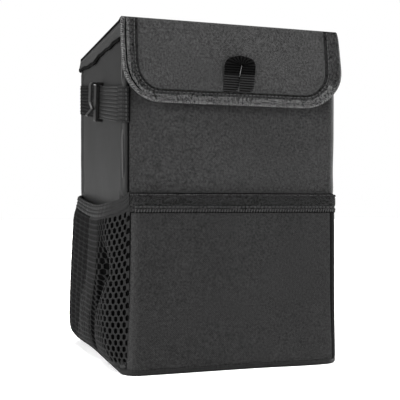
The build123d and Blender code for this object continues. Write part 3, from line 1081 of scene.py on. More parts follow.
@dataclass
class FrontPocket:
    """Patch pocket over the lower front, with a taped top edge (mm)."""

    sizes: BinSizes
    left: float = 76.6
    left_spread: float = 2.8
    right: float = 84.2
    # Width of the pocket's right edge that takes the near-black painted shade
    turned: float = 6.0
    round: float = 7.5
    mouth_ease: float = 0.9
    foot_ease: float = 55.0
    foot_tuck: float = 1.1
    foot_run: float = 3.0
    side_welt: float = 0.9
    slack: float = 0.7
    tape: float = 0.7
    stitch_drop: float = 8.7
    width: float = field(init=False)
    low: float = field(init=False)
    top: float = field(init=False)
    depth: float = field(init=False)
    hem_height: float = field(init=False)

    def __post_init__(self) -> None:
        """Reads the pocket's box."""
        low, high = box_mm("front_pocket")
        hem = box_mm("front_pocket_hem")
        self.width = self.left + self.right
        self.low = self.sizes.seam_z
        self.top = hem[1][2] - self.tape
        self.depth = high[1] - low[1]
        self.hem_height = hem[1][2] - hem[0][2]

    def build(self) -> None:
        """Makes the pocket, its hem and the stitches."""
        place, z = np.meshgrid(self.columns(), self.rows(), indexing="ij")
        grid = self.surface(place, z)
        flat = np.stack([place, z], axis=-1)
        # The pocket takes a darker copy of the cloth: painted shade
        made = sheet("front_pocket_cloth", grid, self.sizes.cloth, SHADED_POCKET_CLOTH, np.array([0, -1, 0]), flat)
        # The right edge takes the near-black cloth: painted shade
        shade_faces(made, (SHADED_EDGE_CLOTH,), lambda middle: middle[0] > self.right - self.turned)
        install(made, Body.BIN, SHADED_POCKET_CLOTH, "front_pocket")
        # Black rolls at the foot of the rounded sides: painted shade lines
        for word, k in (("left", 0), ("right", -1)):
            roll(f"front_pocket_{word}_welt", grid[k, ::3], self.side_welt, SHADE_WELT, Body.BIN)
        self.hem()

    def columns(self) -> Array:
        """Sets out the columns of the pocket's grid.

        Returns:
            Places across from the left edge, close together on the rounded sides.
        """
        arc = self.round * (1 - np.cos(np.linspace(0, math.pi / 2, 9)))
        flat = np.linspace(self.round, self.width - self.round, 58)[1:-1]
        return np.concatenate([arc, flat, (self.width - arc)[::-1]])

    def rows(self) -> Array:
        """Levels up the pocket, close together at its foot."""
        foot = self.low + np.array([0, 0.4, 1.0, 1.8, 2.8, 4.0])
        return np.concatenate([foot, np.linspace(foot[-1] + 2, self.top, 42)])

    def surface(self, place: Array, z: Array) -> Array:
        """Middle surface of the pocket's cloth.

        Args:
            place: Places across from the left edge.
            z: Levels.

        Returns:
            Points, standing off the front panel and meeting the base edge at the foot.
        """
        up = np.clip((z - self.low) / (self.top - self.low), 0, 1)
        left = self.left + self.left_spread * (1 - up) ** 2
        x = -left + place * (left + self.right) / self.width
        side = np.clip(np.minimum(place, self.width - place) / self.round, 0, 1)
        round_side = np.sqrt(1 - (1 - side) ** 2)
        inner = smooth(np.minimum(place, self.width - place), 4, 30) * smooth(z - self.low, 6, 35)
        high = self.depth - self.sizes.cloth / 2 - self.mouth_ease * smooth(z, self.top - 60, self.top)
        low = self.sizes.base_reach(x) - 0.3
        reach = low + (high - low) * smooth(z, self.low, self.low + self.foot_ease)
        reach = reach + self.slack * inner * ripple(place, z, 95, 36)
        foot = self.foot_tuck * np.clip(1 - (z - self.low) / self.foot_run, 0, 1) ** 2
        return np.stack([x, -self.sizes.half_d - np.maximum(reach * round_side - foot, 0.1), z], axis=-1)

    def level(self, z: float) -> Array:
        """Line across the pocket's surface at a level."""
        place = self.columns()
        return self.surface(place, np.full_like(place, z))

    def hem(self) -> None:
        """Tape folded over the top edge, sewn along one row, its lower edge overcast."""
        cloth = self.sizes.cloth / 2
        low = self.top - self.hem_height + self.tape
        line = self.top - self.stitch_drop
        o, i = cloth + self.tape, -cloth - self.tape
        section = [
            (cloth, low), (o - 0.1, low + 0.2), (o + 0.2, low + 1.4), (o, line - 1.2), (o - 0.6, line - 0.2),
            (o - 0.55, line + 0.2), (o, line + 1.0), (o + 0.2, line + 3), (o + 0.15, self.top - 2.2),
            (o - 0.15, self.top - 1.5), (o + 0.3, self.top - 0.7), (o + 0.05, self.top + self.tape),
            (i + 0.5, self.top + self.tape), (i, self.top - 1.0), (i, low), (-cloth, low), (-cloth, self.top),
            (cloth, self.top),
        ]
        rows = np.stack([self.level(self.top - d) for d in (0, 2)], axis=1)
        normals = grid_normals(rows)[:, 0] * np.array([1, 1, 0])
        normals = unit(normals * np.where(normals[:, 1:2] > 0, -1, 1))
        rings = []
        for n, z in section:
            ring = self.level(min(z, self.top)) + normals * n
            ring[:, 2] = z
            rings.append(ring)
        made = loft("front_pocket_tape", np.stack(rings, axis=1), HEM_TAPE)
        install(made, Body.BIN, HEM_TAPE, "front_pocket_hem")
        for name, style, z, out in (
            ("front_pocket_stitches", LOCKSTITCH, line, o - 0.45),
            ("front_pocket_overcast", OVERCAST, low + 0.9, o + 0.1),
        ):
            row = self.level(z) + normals * out
            style.sew(name, [(row[4:-4], normals[4:-4])], Body.BIN)
        for name, foot, out, z, radius, finish in (
            # The lip is a paler roll on the top edge: painted highlight
            ("lip", self.top, o - 0.2, self.top + 0.1, 0.6, TAPE),
            # Black rolls in the mouth's gap and under the tape: painted shade lines
            ("mouth", self.top, -cloth - 0.6, self.top + 0.6, 0.9, SHADE_WELT),
            ("tape_foot_shade", low - 0.2, cloth + 0.2, low - 0.2, 0.5, SHADE_WELT),
        ):
            edge = self.level(foot) + normals * out
            edge[:, 2] = z
            roll(f"front_pocket_{name}", edge, radius, finish, Body.BIN)


@dataclass
class NetPocket:
    """Bulging net pocket on one side with a gathered elastic top edge (mm)."""

    sizes: BinSizes
    side: Side
    pitch: float = 4.6
    row: float = 4.4
    hole: tuple[float, float] = (0.56, 0.78)
    rear_hole: float = 0.55
    rear_relief: float = 2.2
    cloth_share: float = 0.8
    shade_steps: tuple[float, float] = (20.0, 48.0)
    shift: float = 0.32
    stretch: float = 0.26
    thread: float = 0.42
    stand_off: float = 1.25
    left_line: tuple[float, float, float] = (76.5, 1.25, 5.5)
    right_line: tuple[float, float, float] = (80.5, 0.9, -8.0)
    swell: float = 13.4
    swell_run: float = 42.0
    slant: float = 16.0
    slant_round: float = 24.0
    top_fall: float = 0.42
    top_draw: float = 0.45
    steep_front: float = 0.95
    steep_rear: float = 2.6
    fold: float = 11.0
    fold_width: float = 6.5
    fold_front: float = 24.0
    fold_foot: float = 70.0
    fold_level: float = 70.0
    rear_runs: tuple[float, float] = (67.0, 92.0)
    dip: float = 9.2
    dip_skew: float = 0.55
    elastic: float = 9.5
    elastic_half: float = 1.15
    groove: float = 0.2
    groove_run: float = 2.6
    gather: float = 0.12
    gather_run: float = 7.5
    pleat: float = 0.7
    pleat_run: float = 3.4
    pleat_lean: float = 60.0
    lining_thick: float = 0.3
    lining_gap: float = 0.6
    lining_share: float = 0.75
    lining_share_rear: float = 0.2
    valley_lead: float = 5.0
    valley_width: float = 9.0
    swell_lead: float = field(init=False)
    line: Outline = field(init=False)
    low: float = field(init=False)
    top: float = field(init=False)

    def __post_init__(self) -> None:
        """Reads the pocket's levels and sets out its line, which on the right stays behind the corner."""
        s = self.sizes
        y = s.half_d + self.stand_off
        start, gap, self.swell_lead = self.left_line if self.side is Side.LEFT else self.right_line
        x = s.half_w + gap
        corners = ((start, -y), (x, self.slant - y), (x, y), (s.seam_x, y))
        self.line = Outline(corners, (0, self.slant_round, s.corner + self.stand_off, 0))
        self.low = box_mm("right_net_foot")[0][2]
        self.top = box_mm("right_elastic_front")[1][2]

    def top_edge(self, y: Array) -> Array:
        """Level of the sagging top edge at a place front to back, lowest nearer the front."""
        back = np.clip((y + self.sizes.half_d) / (2 * self.sizes.half_d), 0, 1)
        return self.top - self.dip * np.sin(math.pi * back**self.dip_skew)

    def fold_place(self, z: Array | float) -> Array:
        """How far behind the front panel the fold lies at a level."""
        return self.fold_front + (self.fold_foot - self.fold_front) * np.clip(1 - z / self.fold_level, 0, 1)

    def rearward(self, run: Array | float) -> Array:
        """Share of the net's denser rear, at a length round the side."""
        return smooth(run, *self.rear_runs)

    def surface(self, s: Array, t: Array, share: Array | float = 1.0) -> Array:
        """Middle surface of the net, which leaves the front seam at a slant and has one deep slanting fold.

        Args:
            s: Lengths round the side from the front seam.
            t: Shares of the height, from 0 at the base seam to 1 at the top edge.
            share: Part of the full bulge.

        Returns:
            Points on the right side.
        """
        point, normal = self.line.at(s)
        y = point[..., 1]
        z = self.low + t * (self.top_edge(y) - self.low)
        level = np.clip((z - self.low) / (self.top - self.low), 0, 1)
        front = y + self.sizes.half_d
        lead = np.clip((front + self.swell_lead) / self.swell_run, 0, 1)
        full = self.swell * (1 - self.top_fall * level**1.3) * (1 - (1 - lead) ** 1.5)
        fold = self.fold * np.exp(-(((front - self.fold_place(z)) / self.fold_width) ** 2))
        full = full - fold * smooth(self.fold_level + 30 - z, 0, 30)
        pleat = self.pleat * np.sin(y / self.pleat_run + z / self.pleat_lean) * smooth(front, 55, 80)
        full = full + pleat * (1 - 0.7 * level)
        full = full * (1 - self.top_draw * smooth(level, 0.82, 1.0)) * smooth(self.sizes.half_d - y, 1, 22)
        full = np.maximum(full, 0.05)
        steep = self.steep_front + (self.steep_rear - self.steep_front) * smooth(front, 60, 140)
        bulge = full * (1 - np.exp(-steep * (z - self.low) / full))
        return with_z(point + normal * (bulge * share)[..., None], z)

    def frame_at(self, s: Array, t: Array) -> tuple[Array, Array]:
        """Points on the net and outward directions there.

        Args:
            s: Lengths round the side from the front seam.
            t: Shares of the height.

        Returns:
            Points and unit normals on the right side.
        """
        run = np.subtract(*(self.surface(np.clip(s + d, 0, self.line.length), t) for d in (0.5, -0.5)))
        rise = np.subtract(*(self.surface(s, np.clip(t + d, 0, 1)) for d in (0.004, -0.004)))
        return self.surface(s, t), unit(np.cross(run, rise))

    def build(self) -> None:
        """Makes the net, the black sheet of painted shade behind it and its elastic edge."""
        self.net()
        self.lining()
        self.edge()

    def lining(self) -> None:
        """Black sheet behind the net, close to it at the rear: painted shade inside the pocket."""
        height = self.top - self.low
        word = self.side.word
        t, run = np.meshgrid(np.linspace(0.01, 1 - self.elastic / height, 30), self.line.along, indexing="ij")
        out = with_z(self.line.at(run)[1], 0.0)
        share = self.lining_share + self.lining_share_rear * self.rearward(run)
        grid = mirrored(self.surface(run, t, share) - out * self.lining_gap, self.side)
        made = sheet(f"{word}_net_lining", grid, self.lining_thick, SHADE_BACKING, mirrored(out, self.side))
        install(made, Body.BIN, SHADE_BACKING)

    def net(self) -> None:
        """Net of staggered six-sided meshes with rounded threads."""
        columns = round(self.line.length / self.pitch)
        height = self.top - self.low - self.elastic + 2
        rows = round(height / self.row)
        pitch, row = self.line.length / columns, height / rows
        tall = (pitch * pitch / 4 + row * row) / (2 * row)
        short = (row * row - pitch * pitch / 4) / (2 * row)
        right = [(0, tall), (pitch / 2, short), (pitch / 2, -short)]
        hexagon = np.array(right + [(-x, -y) for x, y in right])
        builder = NetBuilder(self.line.length, height, self.thread)
        for j in range(-1, rows + 1):
            for i in range(-1, columns + 1):
                centre = np.array([(i + self.shift + (0.5 if j % 2 else 0.0)) * pitch, (j + 0.5) * row])
                front = self.line.at(np.clip(centre[:1], 0, self.line.length))[0][0, 1] + self.sizes.half_d
                valley = self.fold_place(self.low + centre[1]) + self.valley_lead
                open_share = 1 + self.stretch * math.exp(-(((front - valley) / self.valley_width) ** 2))
                open_share *= 1 - (1 - self.rear_hole) * float(self.rearward(centre[0]))
                builder.add_mesh(centre, hexagon, np.array(self.hole) * open_share)
        flat, lift, faces = builder.result()
        lift = lift * (1 - (1 - self.rear_relief) * self.rearward(flat[:, 0]))
        here, out = self.frame_at(flat[:, 0], flat[:, 1] / (self.top - self.low))
        points = mirrored(here + out * lift[:, None], self.side)
        if self.side is Side.LEFT:
            faces = [f[::-1] for f in faces]
        cloth = np.concatenate([flat[list(f)] for f in faces])
        word = self.side.word
        made = new_piece(f"{word}_net", points, faces, cloth, NET)
        # Faces behind the fold take the darker nets: painted shade
        shade_faces(made, (HALF_SHADED_NET, SHADED_NET), self.shade)
        zones = ("front_corner", "front", "side", "rear", "rear_corner", "foot")
        install(made, Body.BIN, NET, *(f"{word}_net_{zone}" for zone in zones))

    def shade(self, middle: Array) -> int:
        """Step of the net's painted shade at a point, darker behind the fold."""
        behind = middle[1] + self.sizes.half_d - self.fold_place(middle[2])
        return sum(behind > step for step in self.shade_steps)

    def edge(self) -> None:
        """Folded elastic along the top edge: a thick rolled top with fine grooves below it."""
        length = self.line.length
        s = np.linspace(0, length, 200)
        drop = np.linspace(0.0, self.elastic, 33)
        swell = self.elastic_half + self.groove * np.cos(drop * 2 * math.pi / self.groove_run)
        swell = swell + 0.35 * np.exp(-(((drop - 1.6) / 1.5) ** 2))
        swell[0], swell[-1] = 0.5, 0.7
        gather = self.gather * np.sin(s * 2 * math.pi / self.gather_run)
        gather = gather * smooth(s, 4, 14) * smooth(length - s, 4, 14)
        fall = self.top_edge(self.line.at(s)[0][:, 1]) - self.low
        rings = []
        for face in (1, -1):
            for k in range(len(drop))[::face]:
                here, out = self.frame_at(s, 1 - drop[k] / fall)
                rings.append(here + out * (face * swell[k] + gather)[:, None])
        word = self.side.word
        made = loft(f"{word}_net_elastic", mirrored(np.stack(rings, axis=1), self.side), ELASTIC)
        install(made, Body.BIN, ELASTIC, *(f"{word}_elastic_{zone}" for zone in ("front", "side", "rear")))


@dataclass
class NetBuilder:
    """Collects the meshes of a flat net so that neighbours share their points (mm)."""

    width: float
    height: float
    thread: float
    places: dict[tuple[float, float, int], int] = field(default_factory=dict)
    flat: list[tuple[float, float]] = field(default_factory=list)
    lift: list[float] = field(default_factory=list)
    faces: list[tuple[int, ...]] = field(default_factory=list)

    def point(self, place: Array, lift: float) -> int:
        """Number of the point at a place and a height, made if it is new.

        Args:
            place: Place on the flat net, moved in to its edge if it lies outside.
            lift: Height above the middle, 0 on the net's edge.

        Returns:
            The point's number.
        """
        x = min(max(float(place[0]), 0.0), self.width)
        y = min(max(float(place[1]), 0.0), self.height)
        lift = 0.0 if x in (0.0, self.width) or y in (0.0, self.height) else lift
        key = (round(x, 3), round(y, 3), round(lift * 100))
        if key not in self.places:
            self.places[key] = len(self.flat)
            self.flat.append((x, y))
            self.lift.append(lift)
        return self.places[key]

    def add_face(self, loop: Iterable[int]) -> None:
        """Adds a face without repeated points, if anything is left of it.

        Args:
            loop: Numbers of the points round the face.
        """
        kept = list(dict.fromkeys(loop))
        if len(kept) > 2:
            x, y = np.array([self.flat[k] for k in kept]).T
            if abs(np.dot(x, np.roll(y, -1)) - np.dot(y, np.roll(x, -1))) > 0.02:
                self.faces.append(tuple(kept))

    def add_mesh(self, centre: Array, hexagon: Array, hole: Array) -> None:
        """Adds one mesh of the net, closed where the net's edge cuts it.

        Args:
            centre: Its centre.
            hexagon: Its six corners round the centre, clockwise.
            hole: Width and height of the hole as shares of the mesh.
        """
        reach, size = np.abs(hexagon).max(axis=0), np.array([self.width, self.height])
        if np.any(centre < -reach) or np.any(centre > size + reach):
            return
        room = reach * hole * 1.05
        open_mesh = np.all(centre > room) and np.all(centre < size - room)
        count = len(hexagon)
        for face in (1, -1):
            crest = [self.point(centre + c, face * self.thread) for c in hexagon]
            if not open_mesh:
                self.add_face(crest[::-face])
                continue
            shoulder = [self.point(centre + c * (hole + 1) / 2, face * self.thread * 0.8) for c in hexagon]
            rim = [self.point(centre + c * hole, 0.0) for c in hexagon]
            for outer, inner in ((crest, shoulder), (shoulder, rim)):
                for k in range(count):
                    n = (k + 1) % count
                    self.add_face((outer[k], inner[k], inner[n], outer[n])[::face])

    def result(self) -> tuple[Array, Array, list[tuple[int, ...]]]:
        """Flat places, heights above the middle and faces of the whole net."""
        return np.array(self.flat), np.array(self.lift), self.faces


@dataclass
class SideStrap:
    """Webbing between the front and rear seams of one side, rising to the back (mm)."""

    sizes: BinSizes
    side: Side
    width: float = 25.4
    thick: float = 1.3
    stand_off: float = 2.0
    hug: tuple[float, float] = (0.6, 1.5)
    hug_run: float = 23.0
    bend: float = 6.0
    slope: float = 8.2
    ridges: int = 9
    ridge: float = 0.42
    rubbed_run: float = 26.0
    seam_gap: float = 0.1
    seam_lap: float = 0.2
    right_start: float = 10.5
    bar_place: float = 2.2
    bar_reach: float = 0.47
    bar_points: int = 20
    edge_share: float = 0.28
    tail_share: float = 0.7
    line: Outline = field(init=False)
    front_z: float = field(init=False)

    def __post_init__(self) -> None:
        """Sets out the strap's line, which on the right starts behind the turned front cloth."""
        s = self.sizes
        mid = self.thick / 2
        x, y, turn = s.half_w + self.stand_off + mid, s.half_d + self.seam_gap + mid, self.bend + mid
        seam = s.seam_x + self.seam_lap
        front = [(seam, -y), (x, -y)] if self.side is Side.LEFT else [(x, self.right_start - s.half_d)]
        corners = front + [(x, y), (seam, y)]
        self.line = Outline(corners, [0] + [turn] * (len(corners) - 2) + [0])
        self.front_z = box_mm(f"{self.side.word}_strap")[0][2] + self.tall / 2

    @property
    def tall(self) -> float:
        """Upright height of the sloping webbing."""
        return self.width / math.cos(math.radians(self.slope))

    def centre_z(self, y: Array) -> Array:
        """Level of the webbing's middle at a place front to back."""
        back = y + self.sizes.half_d + self.seam_gap + self.thick
        return self.front_z + math.tan(math.radians(self.slope)) * back

    def build(self) -> None:
        """Makes the webbing and the bar of stitches at its ends."""
        line, tall = self.line, self.tall
        end = np.clip(np.minimum(line.along, line.length - line.along) / self.hug_run, 0, 1)
        sideways = np.abs(line.normals[:, 0])
        front, rear = self.hug if self.side is Side.LEFT else (0.0, self.hug[1])
        hug = np.where(line.along < line.length / 2, front, rear)
        points = line.points - line.normals * (hug * (1 - smooth(end, 0, 1)) * sideways)[:, None]
        across = np.linspace(-0.5, 0.5, 8 * self.ridges + 1)
        crest = np.sqrt(np.abs(np.sin(across * math.pi * self.ridges)))
        swell = self.thick / 2 - self.ridge + self.ridge * crest
        swell[0] = swell[-1] = self.thick * self.edge_share
        mid_z = self.centre_z(points[:, 1])
        rings = []
        for face in (1, -1):
            for k in range(len(across))[::face]:
                rings.append(with_z(points + line.normals * face * swell[k], mid_z + across[k] * tall))
        word = self.side.word
        made = loft(f"{word}_webbing", mirrored(np.stack(rings, axis=1), self.side), WEBBING)
        # Faces behind the hook take darker and darker webbing: painted shade
        hook_y, steps = box_mm(f"{word}_clip")[0][1], len(SHADED_WEBBING)
        shade_faces(
            made,
            SHADED_WEBBING,
            lambda middle: round(steps * float(np.clip((middle[1] - hook_y) / self.rubbed_run, 0, 1))),
        )
        install(made, Body.BIN, WEBBING, f"{word}_strap")
        rows, column = [], (self.bar_points, 1)
        for place in (self.bar_place, line.length - self.bar_place):
            k = int(np.argmin(np.abs(line.along - place)))
            z = mid_z[k] + np.linspace(-self.bar_reach, self.bar_reach, self.bar_points) * tall
            point = with_z(np.tile(points[k] + line.normals[k] * self.thick / 2, column), z)
            out = with_z(np.tile(line.normals[k], column), 0.0)
            rows.append((mirrored(point, self.side), mirrored(out, self.side)))
        LOCKSTITCH.sew(f"{word}_strap_stitches", rows, Body.BIN)
        # Black roll at the strap's front end: painted shade line
        z = mid_z[0] + np.linspace(-0.5, 0.5, self.bar_points) * tall
        tail = mirrored(with_z(np.tile(points[0], column), z), self.side)
        roll(f"{word}_strap_end", tail, self.thick * self.tail_share, SHADE_WELT, Body.BIN)


@dataclass
class StrapHook:
    """Slide-on hook: a flat loop round the webbing and a bent tongue outside it (mm)."""

    side: Side
    bevel: float = 0.28
    bevel_steps: int = 3
    sharp_deg: float = 35.0

    def build(self) -> None:
        """Rounds the moulded edges of the solid and gives it its plastic."""
        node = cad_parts[f"{self.side.word}_clip"]
        rounding = node.modifiers.new("moulded edge", "BEVEL")
        rounding.width = self.bevel * MM
        rounding.segments = self.bevel_steps
        rounding.limit_method = "ANGLE"
        rounding.angle_limit = math.radians(self.sharp_deg)
        node.data.materials.clear()
        node.data.materials.append(ACETAL.material())
        LOG.info("%s_clip: dressed solid", self.side.word)


@dataclass
class Lid:
    """The stiff lid with its soft skirts, welts and the cloth it hinges on (mm)."""

    sizes: BinSizes
    edge_round: float = 1.4
    edge_turn_deg: float = 80.0
    crown: float = 0.5
    film: float = 0.3
    front_seam: float = 7.0
    skirt: float = 14.2
    skirt_step: float = 0.45
    skirt_wave: float = 1.1
    skirt_waves: float = 2.4
    skirt_dip: float = 1.2
    skirt_drop: float = 2.2
    skirt_uneven: float = 0.4
    skirt_rise: float = 3.6
    skirt_end: float = 3.5
    edge_in: float = 0.8
    welt: float = 1.2
    hem: float = 1.4
    hinge_drop: float = 13.0
    hinge_lap: float = 9.0
    hinge_bend: float = 2.4
    hinge_thick: float = 0.6

    def build(self) -> None:
        """Makes every piece of the lid."""
        self.top_cloth()
        self.inner_film()
        for side in Side:
            self.skirt_cloth(side)
        self.hinge_cloth()

    def top_cloth(self) -> None:
        """Top cloth, rolled down over the sides and the rear."""
        s = self.sizes
        r = self.edge_round
        bend = np.linspace(0, math.radians(self.edge_turn_deg), 6)
        run, drop = np.sin(bend) * r, (1 - np.cos(bend)) * r
        half = s.lid_half - self.edge_in
        flat = np.linspace(-half + r, half - r, 50)
        x = np.concatenate([-(half - r + run)[::-1], flat[1:-1], half - r + run])
        x_drop = np.concatenate([drop[::-1], np.zeros(len(flat) - 2), drop])
        front = -s.lid_front + self.front_seam
        deep = np.linspace(front, s.lid_rear - r, 50)[:-1]
        y = np.concatenate([deep, s.lid_rear - r + run])
        y_drop = np.concatenate([np.zeros(len(deep)), drop])
        gx, gy = np.meshgrid(x, y, indexing="ij")
        inner = smooth(half - np.abs(gx), 1, 30) * smooth(s.lid_rear - gy, 1, 30)
        top = s.lid_top - s.cloth / 2 + inner * (self.crown + 0.25 * ripple(gx, gy, 70, 41))
        grid = np.stack([gx, gy, top - x_drop[:, None] - y_drop[None, :]], axis=-1)
        made = sheet("lid_top_cloth", grid, s.cloth, LID_CLOTH, np.array([0, 0, 1]))
        install(made, Body.LID, CLOTH, "lid_cover")
        row = np.stack([x[6:-6], np.full(len(x) - 12, front + 2.0), top[6:-6, 1] + s.cloth / 2], axis=-1)
        up = np.tile([0.0, 0.0, 1.0], (len(row), 1))
        LOCKSTITCH.sew("lid_stitches", [(row, up)], Body.LID)

    def inner_film(self) -> None:
        """Film under the lid's board."""
        low, high = box_mm("lid_lining")
        x, y = (np.linspace(low[k], high[k], 40) for k in range(2))
        gx, gy = np.meshgrid(x, y, indexing="ij")
        inner = smooth(high[0] - np.abs(gx), 1, 20) * smooth(gy - low[1], 1, 20) * smooth(high[1] - gy, 1, 20)
        z = low[2] + 0.2 + 0.1 * inner * ripple(gx, gy, 45, 43)
        made = sheet("lid_film", np.stack([gx, gy, z], axis=-1), self.film, FILM, np.array([0, 0, -1]))
        install(made, Body.LID, FILM, "lid_lining")

    def skirt_cloth(self, side: Side) -> None:
        """Soft skirt below one side edge, with a rolled, uneven lower edge and a welt along its top.

        Args:
            side: Side of the lid.
        """
        s = self.sizes
        low, high = box_mm("lid_right_skirt")
        y, drop = np.meshgrid(np.linspace(low[1], high[1], 110), np.linspace(0, 1, 14), indexing="ij")
        back = (y - low[1]) / (high[1] - low[1])
        step = smooth(back, self.skirt_step, self.skirt_step + 0.08)
        wave = np.sin(back * 2 * math.pi * self.skirt_waves + 0.4 + side.value * 0.5)
        out = self.skirt_wave * (0.5 + 0.4 * wave) * drop**1.5 + 0.5 * step * drop
        tall = self.skirt - self.skirt_dip * smooth(back, 0.1, self.skirt_step) + self.skirt_drop * step
        tall = tall + self.skirt_uneven * np.sin(back * 34)
        tall = tall - self.skirt_rise * smooth(back, 0.55, 0.97) - self.skirt_end * smooth(back, 0.975, 1.0)
        z = s.lid_top - s.cloth - drop * (tall - s.cloth)
        grid = mirrored(np.stack([high[0] - s.cloth / 2 - self.edge_in + out, y, z], axis=-1), side)
        word = side.word
        made = sheet(f"lid_{word}_skirt_cloth", grid, s.cloth, CLOTH, np.array([side.value, 0, 0]))
        install(made, Body.LID, CLOTH, f"lid_{word}_skirt")
        outward = np.array([float(side.value), 0.0, 0.0])
        # Black rolls: painted shade lines under the skirt and along the lid's top edge
        roll(f"lid_{word}_skirt_hem", grid[:, -1] - outward * 0.1, self.hem, SHADE_WELT, Body.LID)
        welt = grid[:, 0].copy()
        welt[:, 0], welt[:, 2] = side.value * (s.lid_half - self.welt), s.lid_top - self.welt * 1.3
        roll(f"lid_{word}_welt", welt, self.welt, SHADE_WELT, Body.LID)
        row = grid[:, 4] + outward * s.cloth / 2
        LOCKSTITCH.sew(f"lid_{word}_skirt_stitches", [(row, np.tile(outward, (len(row), 1)))], Body.LID)

    def hinge_cloth(self) -> None:
        """Cloth strip from the back panel over the rear edge to the lid."""
        s = self.sizes
        low, high = box_mm("lid_hinge_tape")
        back_y, top_z, r = high[1] + 0.15, s.lid_top + 0.55, self.hinge_bend
        section = [(back_y, z) for z in np.linspace(high[2] - self.hinge_drop, top_z - r, 10)]
        for a in np.linspace(0, math.pi / 2, 8)[1:]:
            section.append((back_y - r + r * math.cos(a), top_z - r + r * math.sin(a)))
        section += [(y, top_z) for y in np.linspace(back_y - r, back_y - r - self.hinge_lap, 5)[1:]]
        x = np.linspace(low[0], high[0], 60)
        grid = np.array([[(c, y, z) for c in x] for y, z in section])
        made = sheet("lid_hinge_cloth", grid, self.hinge_thick, CLOTH, np.array([0, 1, 1]))
        start, end = (0, back_y, high[2] - 3.0), (0, back_y, s.lid_top - 0.5)
        bridge(made, (Body.BIN, Body.LID), start, end, CLOTH, "lid_hinge_tape")


